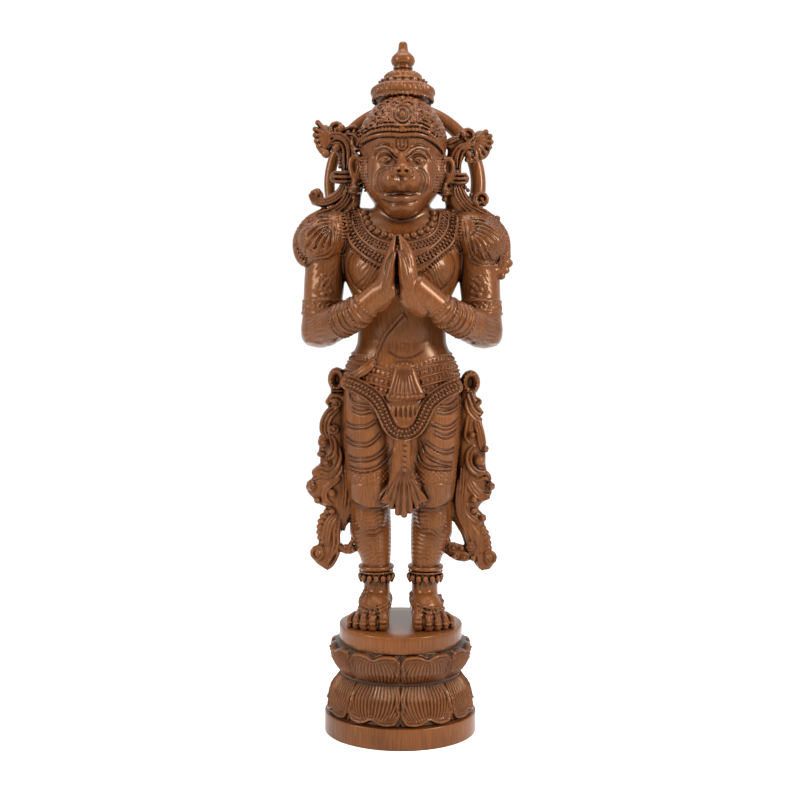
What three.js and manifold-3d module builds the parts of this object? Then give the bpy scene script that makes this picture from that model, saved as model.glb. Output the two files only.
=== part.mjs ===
// A standing monkey figure in prayer, carved with its double lotus plinth from one block of wood.
// Millimetres, +Z up. The figure faces -Y. The origin is the middle of the plinth's underside.
import * as THREE from "three";
import { mergeVertices } from "three/addons/utils/BufferGeometryUtils.js";
import Module from "manifold-3d";

// The figure, from its soles to the tip of the crown. Its pose and carving are drawn at DRAWN_HEIGHT and
// grow with FIGURE_HEIGHT.
const FIGURE_HEIGHT = 773;
const DRAWN_HEIGHT = 773;
const SOLE_SINK = 1.5;

// The plinth, from the ground up: base slab, hanging lotus, upturned lotus, top slab.
const BASE_WIDTH = 200;
const BASE_DEPTH = 170;
const BASE_HEIGHT = 27;
const HANGING_LOTUS_WIDTH = 193;
const HANGING_LOTUS_DEPTH = 164;
const HANGING_LOTUS_HEIGHT = 50;
const LOTUS_WAIST_WIDTH = 164;
const LOTUS_WAIST_DEPTH = 146;
const UPTURNED_LOTUS_WIDTH = 187;
const UPTURNED_LOTUS_DEPTH = 172;
const UPTURNED_LOTUS_HEIGHT = 42;
const TOP_SLAB_WIDTH = 163;
const TOP_SLAB_DEPTH = 163;
const TOP_SLAB_HEIGHT = 22;
const PETAL_COUNT = 8;
const PETAL_GROOVE = 7;
const PETAL_LIP = 5;
const PLINTH_HEIGHT = BASE_HEIGHT + HANGING_LOTUS_HEIGHT + UPTURNED_LOTUS_HEIGHT + TOP_SLAB_HEIGHT;

// The tail stands in a ring behind the head.
const TAIL_RING_RADIUS = 103;
const TAIL_RING_CENTRE = [2, 53, 593];
const TAIL_THICK = 10.4;
const TAIL_THIN = 7;

const WOOD_COLOUR = 0x8a5530;

const wasm = await Module();
wasm.setup();

const BOTH_SIDES = [-1, 1];
const range = (n) => Array.from({ length: n }, (_, i) => i);
const mix = (a, b, t) => a + (b - a) * t;
const smooth = (a, b, v) => THREE.MathUtils.smoothstep(v, a, b);

// A closed three.js geometry as a solid that can be joined and cut.
function solidOf(geometry) {
  geometry.deleteAttribute("normal");
  geometry.deleteAttribute("uv");
  const merged = mergeVertices(geometry, 1e-3);
  return new wasm.Manifold(
    new wasm.Mesh({
      numProp: 3,
      vertProperties: new Float32Array(merged.attributes.position.array),
      triVerts: new Uint32Array(merged.index.array),
    }),
  );
}

function geometryOf(solid) {
  const mesh = solid.getMesh();
  const geometry = new THREE.BufferGeometry();
  geometry.setAttribute("position", new THREE.BufferAttribute(new Float32Array(mesh.vertProperties), 3));
  geometry.setIndex(new THREE.BufferAttribute(new Uint32Array(mesh.triVerts), 1));
  return geometry;
}

const joined = (solids) => solids.reduce((all, one) => all.add(one));

// Fills the small pockets that overlapping forms can close off inside the wood.
const filled = (solid) => joined(solid.decompose().filter((body) => body.volume() > 0));

// Moves every vertex of a geometry by a function of its place.
function reshaped(geometry, place) {
  const position = geometry.attributes.position;
  const from = new THREE.Vector3();
  range(position.count).forEach((i) => {
    const to = place(from.fromBufferAttribute(position, i));
    position.setXYZ(i, to.x, to.y, to.z);
  });
  return geometry;
}

// An upright form through rings of [z, x, y, half width, half depth]. relief(turn, z) is the height of the
// carving on it, drop(turn, z) lowers a ring locally, and turn is 0 at the front and grows towards +X.
function column(rings, { sides = 8, steps = rings.length - 1, relief = () => 0, drop = () => 0 } = {}) {
  const centres = new THREE.CatmullRomCurve3(rings.map(([z, x, y]) => new THREE.Vector3(x, y, z)));
  const radii = new THREE.CatmullRomCurve3(rings.map(([, , , w, d]) => new THREE.Vector3(w, d, 0)));
  const tube = new THREE.CylinderGeometry(1, 1, 1, sides, steps);
  return solidOf(
    reshaped(tube, ({ x, y, z }) => {
      const along = THREE.MathUtils.clamp(y + 0.5, 0, 1);
      const turn = Math.atan2(x, z);
      const out = Math.hypot(x, z);
      const centre = centres.getPoint(along);
      const radius = radii.getPoint(along);
      const raised = out * relief(turn, centre.z);
      return new THREE.Vector3(
        centre.x + x * radius.x + Math.sin(turn) * raised,
        centre.y - z * radius.y - Math.cos(turn) * raised,
        centre.z - out * drop(turn, centre.z),
      );
    }),
  );
}

// A limb, strand or scroll through points of [x, y, z, radius] or [x, y, z, radius across, radius along facing].
function strand(points, { sides = 5, steps = points.length - 1, facing = [0, 1, 0] } = {}) {
  const line = new THREE.CatmullRomCurve3(points.map(([x, y, z]) => new THREE.Vector3(x, y, z)));
  const sizes = new THREE.CatmullRomCurve3(points.map(([, , , a, b = a]) => new THREE.Vector3(a, b, 0)));
  const reference = new THREE.Vector3(...facing);
  const tube = new THREE.CylinderGeometry(1, 1, 1, sides, steps);
  return solidOf(
    reshaped(tube, ({ x, y, z }) => {
      const along = THREE.MathUtils.clamp(y + 0.5, 0, 1);
      const tangent = line.getTangent(along);
      const across = new THREE.Vector3().crossVectors(tangent, reference).normalize();
      const depth = new THREE.Vector3().crossVectors(across, tangent);
      const size = sizes.getPoint(along);
      return line
        .getPoint(along)
        .addScaledVector(across, x * size.x)
        .addScaledVector(depth, z * size.y);
    }),
  );
}

function ball([x, y, z], [a, b, c], around = 6, up = 4) {
  return solidOf(new THREE.SphereGeometry(1, around, up).scale(a, c, b).rotateX(Math.PI / 2).translate(x, y, z));
}

// A turned form about a vertical axis, from a profile of [radius, z] that starts and ends on the axis.
function turned(profile, segments) {
  const points = profile.map(([radius, z]) => new THREE.Vector2(radius, z));
  return solidOf(new THREE.LatheGeometry(points, segments).rotateX(Math.PI / 2));
}

// The plinth is one lofted form. Each level is [z, half width, half depth, groove depth, lip].
function plinth() {
  const lotusFoot = BASE_HEIGHT;
  const waist = lotusFoot + HANGING_LOTUS_HEIGHT;
  const rim = waist + UPTURNED_LOTUS_HEIGHT;
  const hanging = (z, share, groove, lip) => [
    lotusFoot + z * HANGING_LOTUS_HEIGHT,
    mix(LOTUS_WAIST_WIDTH, HANGING_LOTUS_WIDTH, share) / 2,
    mix(LOTUS_WAIST_DEPTH, HANGING_LOTUS_DEPTH, share) / 2,
    groove * PETAL_GROOVE,
    lip * PETAL_LIP,
  ];
  const upturned = (z, share, groove, lip) => [
    waist + z * UPTURNED_LOTUS_HEIGHT,
    mix(LOTUS_WAIST_WIDTH, UPTURNED_LOTUS_WIDTH, share) / 2,
    mix(LOTUS_WAIST_DEPTH, UPTURNED_LOTUS_DEPTH, share) / 2,
    groove * PETAL_GROOVE,
    lip * PETAL_LIP,
  ];
  const levels = [
    [0, BASE_WIDTH / 2, BASE_DEPTH / 2, 0, 0],
    [BASE_HEIGHT, BASE_WIDTH / 2, BASE_DEPTH / 2, 0, 0],
    hanging(0.04, 0.5, 0, 0),
    hanging(0.14, 1, 0.6, 0.3),
    hanging(0.34, 0.94, 1, 1),
    hanging(0.66, 0.72, 0.6, 0),
    hanging(1, 0, 0.2, 0),
    upturned(0.25, 0.65, 0.5, 0),
    upturned(0.7, 1, 1, 1),
    upturned(0.96, 0.78, 0.6, 0),
    [rim, TOP_SLAB_WIDTH / 2, TOP_SLAB_DEPTH / 2, 0, 0],
    [PLINTH_HEIGHT, TOP_SLAB_WIDTH / 2, TOP_SLAB_DEPTH / 2, 0, 0],
  ];
  const petalParts = 4;
  const tube = new THREE.CylinderGeometry(1, 1, 1, PETAL_COUNT * petalParts, levels.length - 1);
  return solidOf(
    reshaped(tube, ({ x, y, z }) => {
      const [height, width, depth, groove, lip] = levels[Math.round((y + 0.5) * (levels.length - 1))];
      const turn = Math.atan2(x, z);
      const petal = Math.abs(Math.sin((turn * PETAL_COUNT) / 2));
      const lobes = Math.abs(Math.sin(turn * PETAL_COUNT));
      const carved = Math.hypot(x, z) * (lip * lobes - groove * (1 - petal) ** 2);
      return new THREE.Vector3(x * width + Math.sin(turn) * carved, -z * depth - Math.cos(turn) * carved, height);
    }),
  );
}

function torso() {
  const body = column(
    [
      [318, 0, 4, 72, 47],
      [355, 0, 1, 66, 43],
      [375, 0, 0, 59, 40],
      [400, 0, 0, 58, 40],
      [428, 0, 0, 64, 43],
      [455, 0, 0, 75, 46],
      [480, 0, 1, 82, 47],
      [505, 0, 3, 86, 44],
      [525, 0, 5, 80, 39],
      [541, 0, 6, 52, 34],
      [560, 0, 2, 33, 32],
    ],
    { sides: 14, steps: 10 },
  );
  const chest = BOTH_SIDES.map((s) => ball([s * 35, -24, 463], [33, 25, 32], 8, 5));
  const collar = strand(
    [-1, -0.5, 0, 0.5, 1].map((u) => [u * 88, -28 - 22 * (1 - u * u), 468 + 46 * u * u, 4, 4]),
    { sides: 4, steps: 8 },
  );
  const beads = strand(
    [-1, -0.5, 0, 0.5, 1].map((u) => [u * 44, -24 - 19 * (1 - u * u), 513 + 24 * u * u, 5, 5]),
    { sides: 4, steps: 8 },
  );
  return [body, ...chest, collar, beads];
}

// A thigh wrapped in cloth: each fold hangs in an arc that is lowest a little outside the front.
function thigh(s) {
  const foldPitch = 29;
  const hangs = (turn) => 16 * Math.max(0, Math.cos(turn - s * 0.15)) ** 2;
  return column(
    [
      [163, s * 40, -2, 31, 33],
      [175, s * 40, -2, 33, 35],
      [200, s * 40, -1, 34, 37],
      [235, s * 40, 1, 37, 41],
      [270, s * 39, 3, 39, 45],
      [300, s * 38, 4, 40, 47],
      [325, s * 37, 4, 38, 46],
    ],
    {
      sides: 9,
      steps: 16,
      relief: (turn, z) => (z > 180 && z < 318 ? 3 * (((z / foldPitch) % 1) - 0.4) : 0),
      drop: (turn, z) => hangs(turn) * smooth(188, 240, z),
    },
  );
}

// The bare shin stands in its anklet.
function shin(s) {
  return column([
    [20, s * 32, 6, 18, 20],
    [49, s * 32, 7, 18, 20],
    [52, s * 32, 7, 24, 26],
    [62, s * 32, 7, 24, 26],
    [70, s * 32, 7, 25, 27],
    [75, s * 32, 7, 20, 22],
    [100, s * 37, 10, 25, 29],
    [122, s * 41, 11, 29, 32],
    [145, s * 41, 7, 28, 31],
    [172, s * 40, 0, 29, 31],
  ]);
}

function foot(s) {
  const toes = [
    [23.5, -76, 9.5],
    [37.5, -76, 7.5],
    [48.5, -72, 6.8],
    [57, -66, 6.2],
    [64, -59, 5.6],
  ];
  return [
    strand(
      [
        [s * 32, 37, 10, 12, 8],
        [s * 32, 18, 20, 19, 18],
        [s * 33, -6, 24, 21, 22],
        [s * 38, -36, 16, 25, 14],
        [s * 42, -58, 9, 27, 8],
      ],
      { sides: 8, steps: 5, facing: [0, 0.3, 1] },
    ),
    ...toes.map(([x, y, r]) => ball([s * x, y + r * 1.2, r * 0.85], [r, r * 1.6, r], 5, 3)),
    strand(
      [
        [s * 12, 4, 38, 3],
        [s * 22, -32, 25, 3],
        [s * 38, -44, 22, 3],
        [s * 54, -28, 23, 3],
        [s * 52, 6, 36, 3],
      ],
      { sides: 4, steps: 5, facing: [0, 0.2, 1] },
    ),
  ];
}

// Cloth over the loins: the belt's rows, the hanging swag, the tassel boss and the fluted middle pleats.
function girdle() {
  const rowHeight = 13;
  const belt = column(
    [
      [312, 0, 3, 74, 49],
      [319, 0, 3, 80, 53],
      [345, 0, 3, 75, 49],
      [359, 0, 3, 67, 44],
      [364, 0, 3, 60, 40],
    ],
    {
      sides: 12,
      steps: 7,
      relief: (turn, z) => (Math.round(z / (rowHeight / 2)) % 2 ? 1.5 : -1),
      drop: (turn) => 14 * Math.max(0, Math.cos(turn)) ** 3,
    },
  );
  const swag = strand(
    [
      [-72, -22, 322, 9, 4],
      [-46, -43, 308, 11, 4],
      [-24, -51, 284, 11, 4],
      [2, -55, 253, 11, 4],
      [28, -51, 284, 11, 4],
      [48, -43, 308, 11, 4],
      [72, -22, 322, 9, 4],
    ],
    { steps: 10 },
  );
  const boss = strand(
    [
      [1, -42, 346, 9, 8],
      [1, -54, 330, 15, 8],
      [1, -55, 306, 12, 8],
      [1, -52, 282, 3, 4],
    ],
    { sides: 6, steps: 4 },
  );
  const seat = ball([0, 12, 318], [70, 42, 40], 10, 6);
  const apron = strand(
    [
      [1, -36, 318, 27, 9],
      [1, -44, 290, 25, 8],
      [1, -46, 262, 16, 7],
    ],
    { sides: 6, steps: 2 },
  );
  const pleats = column(
    [
      [148, -1, -38, 34, 9],
      [185, 0, -40, 22, 11],
      [215, 0, -42, 15, 11],
      [250, 1, -44, 11, 10],
    ],
    { sides: 16, steps: 3, relief: (turn, z) => 2.6 * Math.cos(turn * 8) * smooth(240, 190, z) },
  );
  return [belt, swag, boss, seat, apron, pleats];
}

// The upper arm wears an armlet with a raised crest, and the forearm a broad bracelet.
function arm(s) {
  const upper = column([
    [375, s * 111, -10, 18, 20],
    [392, s * 109, -8, 24, 25],
    [409, s * 107, -3, 25, 27],
    [412, s * 106, -1, 30, 31],
    [428, s * 106, 0, 30, 31],
    [431, s * 105, 0, 26, 27],
    [462, s * 103, 3, 27, 28],
    [500, s * 99, 4, 28, 30],
    [530, s * 92, 3, 24, 26],
  ]);
  const fore = strand(
    [
      [s * 118, 1, 383, 17, 17],
      [s * 104, -16, 390, 25, 24],
      [s * 84, -42, 397, 22, 23],
      [s * 70, -57, 402, 18, 20],
      [s * 67, -60, 404, 22, 23],
      [s * 51, -74, 413, 20, 22],
      [s * 47, -77, 416, 14, 17],
      [s * 18, -92, 440, 13, 17],
    ],
    { sides: 8, facing: [0, 0, 1] },
  );
  const armletCrest = ball([s * 101, -27, 438], [11, 6, 18], 5, 3);
  return [upper, fore, armletCrest];
}

// The hands are pressed palm to palm. The little fingers are in front, and the longer ones stand behind them.
function hands() {
  const fingersEachSide = 4;
  return column(
    [
      [424, -3, -86, 22, 19],
      [440, -3, -90, 24, 22],
      [462, -3, -91, 20, 21],
      [480, -3, -91, 14, 20],
      [496, -3, -89, 7, 17],
      [503, -3, -87, 3, 10],
    ],
    {
      sides: 16,
      steps: 6,
      relief: (turn, z) => 1.8 * Math.cos(turn * 2 * fingersEachSide) * smooth(440, 462, z),
      drop: (turn, z) => 20 * Math.max(0, Math.cos(turn)) ** 2 * smooth(440, 503, z),
    },
  );
}

// The shoulder guard: a dome, the leaf that lies on it and the knobs of its outer edge.
function shoulderGuard(s) {
  const dome = ball([s * 107, -2, 512], [35, 37, 33], 10, 6);
  const leaf = ball([s * 112, -18, 503], [27, 24, 26], 8, 5);
  const knobs = [
    [136, -4, 501, 8],
    [131, -2, 484, 8],
    [135, -2, 515, 8],
  ].map(([x, y, z, r]) => ball([s * x, y, z], [r, r * 1.6, r], 5, 3));
  return [dome, leaf, ...knobs];
}

function head() {
  const skull = ball([0, -13, 594], [52, 50, 55], 12, 8);
  const muzzle = ball([0, -52, 569], [32, 26, 21], 9, 6);
  const jaw = ball([0, -40, 555], [32, 26, 17], 8, 5);
  const nose = strand(
    [
      [0, -60, 606, 6, 5],
      [0, -68, 594, 8, 6],
      [0, -72, 586, 12, 7],
    ],
    { sides: 5, steps: 2 },
  );
  const lips = strand(
    [-1, 0, 1].map((u) => [u * 27, -74 + 16 * u * u, 560 + 4 * u * u, 4, 5]),
    { sides: 4, steps: 4 },
  );
  const sides = BOTH_SIDES.flatMap((s) => [
    strand(
      [
        [s * 6, -62, 608, 3, 4],
        [s * 22, -59, 619, 4, 4],
        [s * 39, -46, 605, 3, 3],
      ],
      { sides: 4, steps: 3 },
    ),
    ball([s * 19, -56, 604], [8, 6, 5], 6, 4),
    ball([s * 57, -6, 600], [10, 7, 17], 5, 4),
    ball([s * 56, -8, 572], [9, 9, 10], 5, 4),
  ]);
  return [skull, muzzle, jaw, nose, lips, ...sides];
}

function crown() {
  const cap = column(
    [
      [606, 0, 4, 50, 46],
      [622, 0, -1, 56, 52],
      [641, 0, -6, 58, 55],
      [655, 0, -6, 55, 53],
      [671, 0, -5, 47, 46],
      [687, 0, -3, 37, 37],
    ],
    { sides: 12, steps: 5, drop: (turn) => -20 * Math.max(0, Math.cos(turn)) ** 2 },
  );
  const band = strand(
    range(7).map((i) => {
      const angle = mix(-0.6, 0.6, i / 6) * Math.PI;
      return [57 * Math.sin(angle), -6 - 55 * Math.cos(angle), 618 + 20 * Math.cos(angle), 5, 5];
    }),
    { sides: 4, steps: 9, facing: [0, 0, 1] },
  );
  const medallion = ball([0, -51, 664], [14, 9, 14], 8, 5);
  const finial = turned(
    [
      [0, 684],
      [37, 687],
      [38, 696],
      [42.6, 701],
      [42.6, 706],
      [31, 713],
      [23.6, 715],
      [21, 723],
      [12, 731],
      [9.5, 738],
      [16, 744],
      [9, 756],
      [5.4, 765],
      [5.3, 773],
      [0, 773],
    ],
    12,
  );
  return [cap, band, medallion, finial];
}

// The crown's side ornament: a knotted stem, two volutes, a shell-like fan and the tresses below.
function sideOrnament(s) {
  const stem = strand(
    [
      [s * 68, 6, 578, 7, 8],
      [s * 75, 4, 605, 8, 8],
      [s * 77, 3, 634, 10, 8],
      [s * 102, 1, 640, 9, 7],
    ],
    { steps: 5 },
  );
  const knot = ball([s * 75, 3, 597], [12, 10, 7], 6, 4);
  const fan = [38, 4, -30].map((degrees) => {
    const angle = THREE.MathUtils.degToRad(degrees);
    return ball([s * (97 + 12 * Math.cos(angle)), 0, 640 + 15 * Math.sin(angle)], [11, 7, 9], 6, 3);
  });
  const tress = strand(
    [
      [s * 68, 7, 592, 7, 9],
      [s * 77, 4, 564, 10, 9],
      [s * 98, 1, 553, 12, 9],
      [s * 122, 0, 542, 7, 7],
    ],
    { steps: 5 },
  );
  return [
    stem,
    knot,
    ...fan,
    tress,
    ball([s * 84, 1, 651], [11, 7, 12], 6, 4),
    ball([s * 109, 0, 569], [13, 8, 14], 6, 4),
    strand(
      [
        [s * 60, 4, 575, 12, 11],
        [s * 63, 8, 555, 15, 13],
        [s * 68, 8, 535, 16, 13],
      ],
      { sides: 6, steps: 2 },
    ),
  ];
}

// The tail leaves the small of the back, swings out to +X, rings the head and thins to its tip at -X.
function tail() {
  const [x, y, z] = TAIL_RING_CENTRE;
  const ring = range(9).map((i) => {
    const part = i / 8;
    const angle = mix(-0.08, 1.1, part) * Math.PI;
    const lean = 7 * Math.sin(angle) ** 2;
    return [
      x + TAIL_RING_RADIUS * Math.cos(angle),
      y - lean,
      z + TAIL_RING_RADIUS * Math.sin(angle),
      mix(TAIL_THICK, TAIL_THIN, part),
    ];
  });
  return strand(
    [
      [0, 40, 338, 11],
      [14, 50, 372, 12],
      [40, 50, 430, 12],
      [72, 50, 490, 11.5],
      [94, 51, 530, 11],
      ...ring,
      [-82, 44, 522, 6],
      [-62, 34, 500, 4],
    ],
    { sides: 6, steps: 24 },
  );
}

// The foliate sash that hangs beside a leg: a bow's loop, a broad band of strands with scrolls along its outer
// edge, and a curled end that is tied to the calf.
function sash(s) {
  const loop = strand(
    range(7).map((i) => {
      const angle = (i / 6) * 2 * Math.PI * 0.96 - Math.PI / 2;
      return [s * (87 + 10 * Math.cos(angle)), 8, 321 + 15 * Math.sin(angle), 4, 9];
    }),
    { sides: 4, steps: 8 },
  );
  const innerEdge = 70;
  const freeEdge = 82;
  const band = column(
    [
      [70, 106],
      [88, 126],
      [105, 118],
      [121, 108],
      [137, 113],
      [148, 102],
      [168, 126],
      [185, 130],
      [200, 119],
      [217, 111],
      [240, 117],
      [262, 108],
      [273, 109],
      [290, 101],
      [312, 104],
    ].map(([z, outerEdge]) => {
      const inner = z < 140 ? freeEdge : innerEdge;
      return [z, (s * (outerEdge + inner)) / 2, 9, (outerEdge - inner) / 2, z > 80 ? 10 : 5];
    }),
    { sides: 6 },
  );
  const tie = strand([
    [s * 108, 10, 86, 12, 9],
    [s * 82, 12, 86, 10, 7],
    [s * 58, 12, 98, 10, 7],
  ]);
  const curl = ball([s * 112, 6, 88], [14, 12, 15], 6, 4);
  return [loop, band, tie, curl];
}

function statue() {
  const figure = joined([
    ...torso(),
    ...girdle(),
    hands(),
    ...head(),
    ...crown(),
    tail(),
    ...BOTH_SIDES.flatMap((s) => [
      thigh(s),
      shin(s),
      ...foot(s),
      ...arm(s),
      ...shoulderGuard(s),
      ...sideOrnament(s),
      ...sash(s),
    ]),
  ]);
  const grown = FIGURE_HEIGHT / DRAWN_HEIGHT;
  const standing = geometryOf(figure).scale(grown, grown, grown).translate(0, 0, PLINTH_HEIGHT - SOLE_SINK);
  return geometryOf(filled(plinth().add(solidOf(standing))));
}

const wood = new THREE.MeshStandardMaterial({ color: WOOD_COLOUR, roughness: 0.42, metalness: 0 });
const mesh = new THREE.Mesh(statue(), wood);
mesh.name = "hanuman_figure";

const part = new THREE.Group();
part.add(mesh);
export default part;
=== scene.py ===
# %% [markdown]
# # A carved wooden Hanuman on a lotus plinth
#
# The object is one block of dark, polished wood, carved all round and left
# standing on its own plinth. The carver takes away wood until the surface is
# reached, and that is also how this lesson works: a block of space is filled
# with numbers that say how far each point is from the surface, forms are
# blended into the numbers, grooves are cut from them, and a mesh is laid
# where the numbers pass through zero. Sculpting by hand would give the same
# surface, but a script can be read, repeated and corrected number by number.
# %% Start
import math
import time

import bpy
import numpy as np
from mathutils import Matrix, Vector


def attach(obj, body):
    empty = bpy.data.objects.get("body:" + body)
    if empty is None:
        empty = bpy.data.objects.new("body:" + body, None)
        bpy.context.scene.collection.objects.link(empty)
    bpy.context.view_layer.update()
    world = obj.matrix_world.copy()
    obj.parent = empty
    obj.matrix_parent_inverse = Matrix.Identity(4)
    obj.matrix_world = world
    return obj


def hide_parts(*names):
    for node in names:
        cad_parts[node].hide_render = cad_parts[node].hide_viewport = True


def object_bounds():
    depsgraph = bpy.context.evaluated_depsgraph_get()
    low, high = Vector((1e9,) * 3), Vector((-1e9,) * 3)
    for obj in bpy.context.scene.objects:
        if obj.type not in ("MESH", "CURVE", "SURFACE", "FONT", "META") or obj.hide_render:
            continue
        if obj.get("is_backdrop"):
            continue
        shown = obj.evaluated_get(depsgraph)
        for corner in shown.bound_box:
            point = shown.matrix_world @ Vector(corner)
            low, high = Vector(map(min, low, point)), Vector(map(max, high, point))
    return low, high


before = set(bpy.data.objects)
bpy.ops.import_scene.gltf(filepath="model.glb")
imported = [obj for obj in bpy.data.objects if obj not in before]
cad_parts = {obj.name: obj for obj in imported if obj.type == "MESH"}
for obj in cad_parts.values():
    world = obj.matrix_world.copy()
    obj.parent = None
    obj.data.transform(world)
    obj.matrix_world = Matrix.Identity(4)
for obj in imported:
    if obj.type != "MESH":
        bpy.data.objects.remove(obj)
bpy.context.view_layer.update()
started = time.time()
print("nodes in the frame:", list(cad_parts))

# %% [markdown]
# ## Sizes
#
# Lengths are millimetres above the soles of the feet, and they become metres
# when a mesh is made. The figure's right hand is at negative x and its front
# at negative y. Places on the front are written as picture points of the
# photo, since that is how they were measured. They could be turned into
# millimetres by hand, but one point is 1.332 mm in the middle plane of the
# figure and less nearer the camera, so a small function follows the line of
# sight to the right place.
# %% Sizes
SOLES = 139.5  # height of the soles above the floor
POINT = 1.332  # one picture point in the figure's middle plane
MIDDLE_COLUMN = 402.5  # the figure's middle at the tip of the crown
TIP_ROW = 45
LEAN = 0.0042  # columns that the middle moves for each row below the tip
EYE_DISTANCE = 1344.0
EYE_HEIGHT = 340.5
EYE_ROW = 367
FAR = 30.0  # the distance that an empty point starts with
F = np.float32


def seen(points):
    """Picture points (column, row, depth, ...) as places in millimetres."""
    rows = np.atleast_2d(np.array(points, float))
    middle = MIDDLE_COLUMN - LEAN * (rows[:, 1] - TIP_ROW)
    nearer = 1 + rows[:, 2] / EYE_DISTANCE
    x = (rows[:, 0] - middle) * POINT * nearer
    z = EYE_HEIGHT - (rows[:, 1] - EYE_ROW) * POINT * nearer
    return np.column_stack([x, rows[:, 2], z, rows[:, 3:]])


print("the tip of the crown is at", seen([(402.5, 43, 0)])[0].round(1))

# %% [markdown]
# ## Forms
#
# Every form is kept in a list with the box it lies in, the way it is joined
# and how softly it blends. Blender could join such forms with Boolean
# modifiers or with metaballs, but Booleans leave hard seams between limbs and
# metaballs can't be grooved. A formula for the distance does both. The list is
# read later, once for each region, so a form only costs time where it is.
# %% List of forms
forms = []


def put(shape, low, high, way="add", blend=2.0):
    """Adds a form to the list. shape gives the distance to its surface."""
    margin = blend + 3.0
    forms.append((np.array(low) - margin, np.array(high) + margin, way, blend, shape))


def ball(centre, radii, way="add", blend=2.0, tilt=0.0):
    """A ball with three half-widths, tilted in the front plane."""
    cx, cy, cz = centre
    a, b, c = (radii,) * 3 if np.isscalar(radii) else radii
    cos, sin = math.cos(math.radians(tilt)), math.sin(math.radians(tilt))

    def shape(x, y, z):
        u = (x - cx) * cos + (z - cz) * sin
        w = (z - cz) * cos - (x - cx) * sin
        v = y - cy
        near = np.sqrt((u / a) ** 2 + (v / b) ** 2 + (w / c) ** 2 + 1e-8)
        steep = np.sqrt((u / a**2) ** 2 + (v / b**2) ** 2 + (w / c**2) ** 2 + 1e-8 / min(a, b, c) ** 2)
        return (near - 1) * near / steep

    wide = math.hypot(a * cos, c * sin)
    tall = math.hypot(a * sin, c * cos)
    reach = np.array([wide, b, tall])
    put(shape, np.array(centre) - reach, np.array(centre) + reach, way, blend)


def knob(place, radii, blend=2.0):
    """A ball at a picture point with its depth."""
    ball(seen([place])[0], radii, blend=blend)


def tell(what):
    """Prints how many forms there are so far."""
    print(len(forms), "forms with", what)


tell("nothing yet")

# %% [markdown]
# Limbs and the trunk are columns. A few rings give the middle and the two
# half-widths at each height, and the values between them follow a curve that
# never swings past its rings, so a wrist stays thinner than its bracelet. A
# Skin modifier or lofted rings would give the same limb, but would still have
# to be fused with the trunk, which a formula does by itself.
# %% Columns
def through(heights, values, at):
    """Smooth values through the given ones, without overshoot."""
    heights = np.asarray(heights, float)
    values = np.asarray(values, float)
    step = np.diff(heights)
    rise = np.diff(values) / step
    slope = np.zeros_like(values)
    slope[0], slope[-1] = rise[0], rise[-1]
    before, after = rise[:-1], rise[1:]
    same = before * after > 0
    mean = np.zeros_like(before)
    mean[same] = 2 * before[same] * after[same] / (before[same] + after[same])
    slope[1:-1] = mean
    at = np.clip(at, heights[0], heights[-1])
    i = np.clip(np.searchsorted(heights, at, side="right") - 1, 0, len(step) - 1)
    t = (at - heights[i]) / step[i]
    h00 = (1 + 2 * t) * (1 - t) ** 2
    h10 = t * (1 - t) ** 2
    h01 = t * t * (3 - 2 * t)
    h11 = t * t * (t - 1)
    return h00 * values[i] + h10 * step[i] * slope[i] + h01 * values[i + 1] + h11 * step[i] * slope[i + 1]


def column(rings, way="add", blend=3.0, relief=None, shift=None):
    """Rings of height, middle x and y, half-width and half-depth.

    relief(turn, height, scale) raises the surface. shift(x, y) lifts the rings."""
    table = np.array(rings, float)
    heights = table[:, 0]

    def shape(x, y, z):
        level = z if shift is None else z - shift(x, y)
        inside = np.clip(level, heights[0], heights[-1])
        cx, cy, a, b = (through(heights, table[:, k], inside).astype(F) for k in (1, 2, 3, 4))
        u, v = x - cx, y - cy
        near = np.sqrt((u / a) ** 2 + (v / b) ** 2 + 1e-8)
        steep = np.sqrt((u / a**2) ** 2 + (v / b**2) ** 2 + 1e-8 / np.minimum(a, b) ** 2)
        side = (near - 1) * near / steep
        if relief is not None:
            side = side - relief(np.arctan2(u / a, -v / b), level, near)
        ends = np.maximum(heights[0] - level, level - heights[-1])
        return blended(side, ends, -2.0)

    reach = table[:, 3:5].max(0)
    low = [table[:, 1].min() - reach[0], table[:, 2].min() - reach[1], heights[0]]
    high = [table[:, 1].max() + reach[0], table[:, 2].max() + reach[1], heights[-1]]
    if relief is not None:
        low, high = np.array(low) - 3, np.array(high) + 3
    if shift is not None:
        low[2], high[2] = low[2] - 25, high[2] + 25
    put(shape, low, high, way, blend)


def blended(a, b, soft):
    """The union of two distances, or with soft below zero what they share."""
    if soft < 0:
        return -blended(-a, -b, -soft)
    share = np.clip(0.5 + 0.5 * (b - a) / soft, 0, 1)
    return b + (a - b) * share - soft * share * (1 - share)


print("half way between rings of 10, 14 and 12 mm:", through((0, 1, 2), (10, 14, 12), np.array([0.5, 1.5])))

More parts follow.
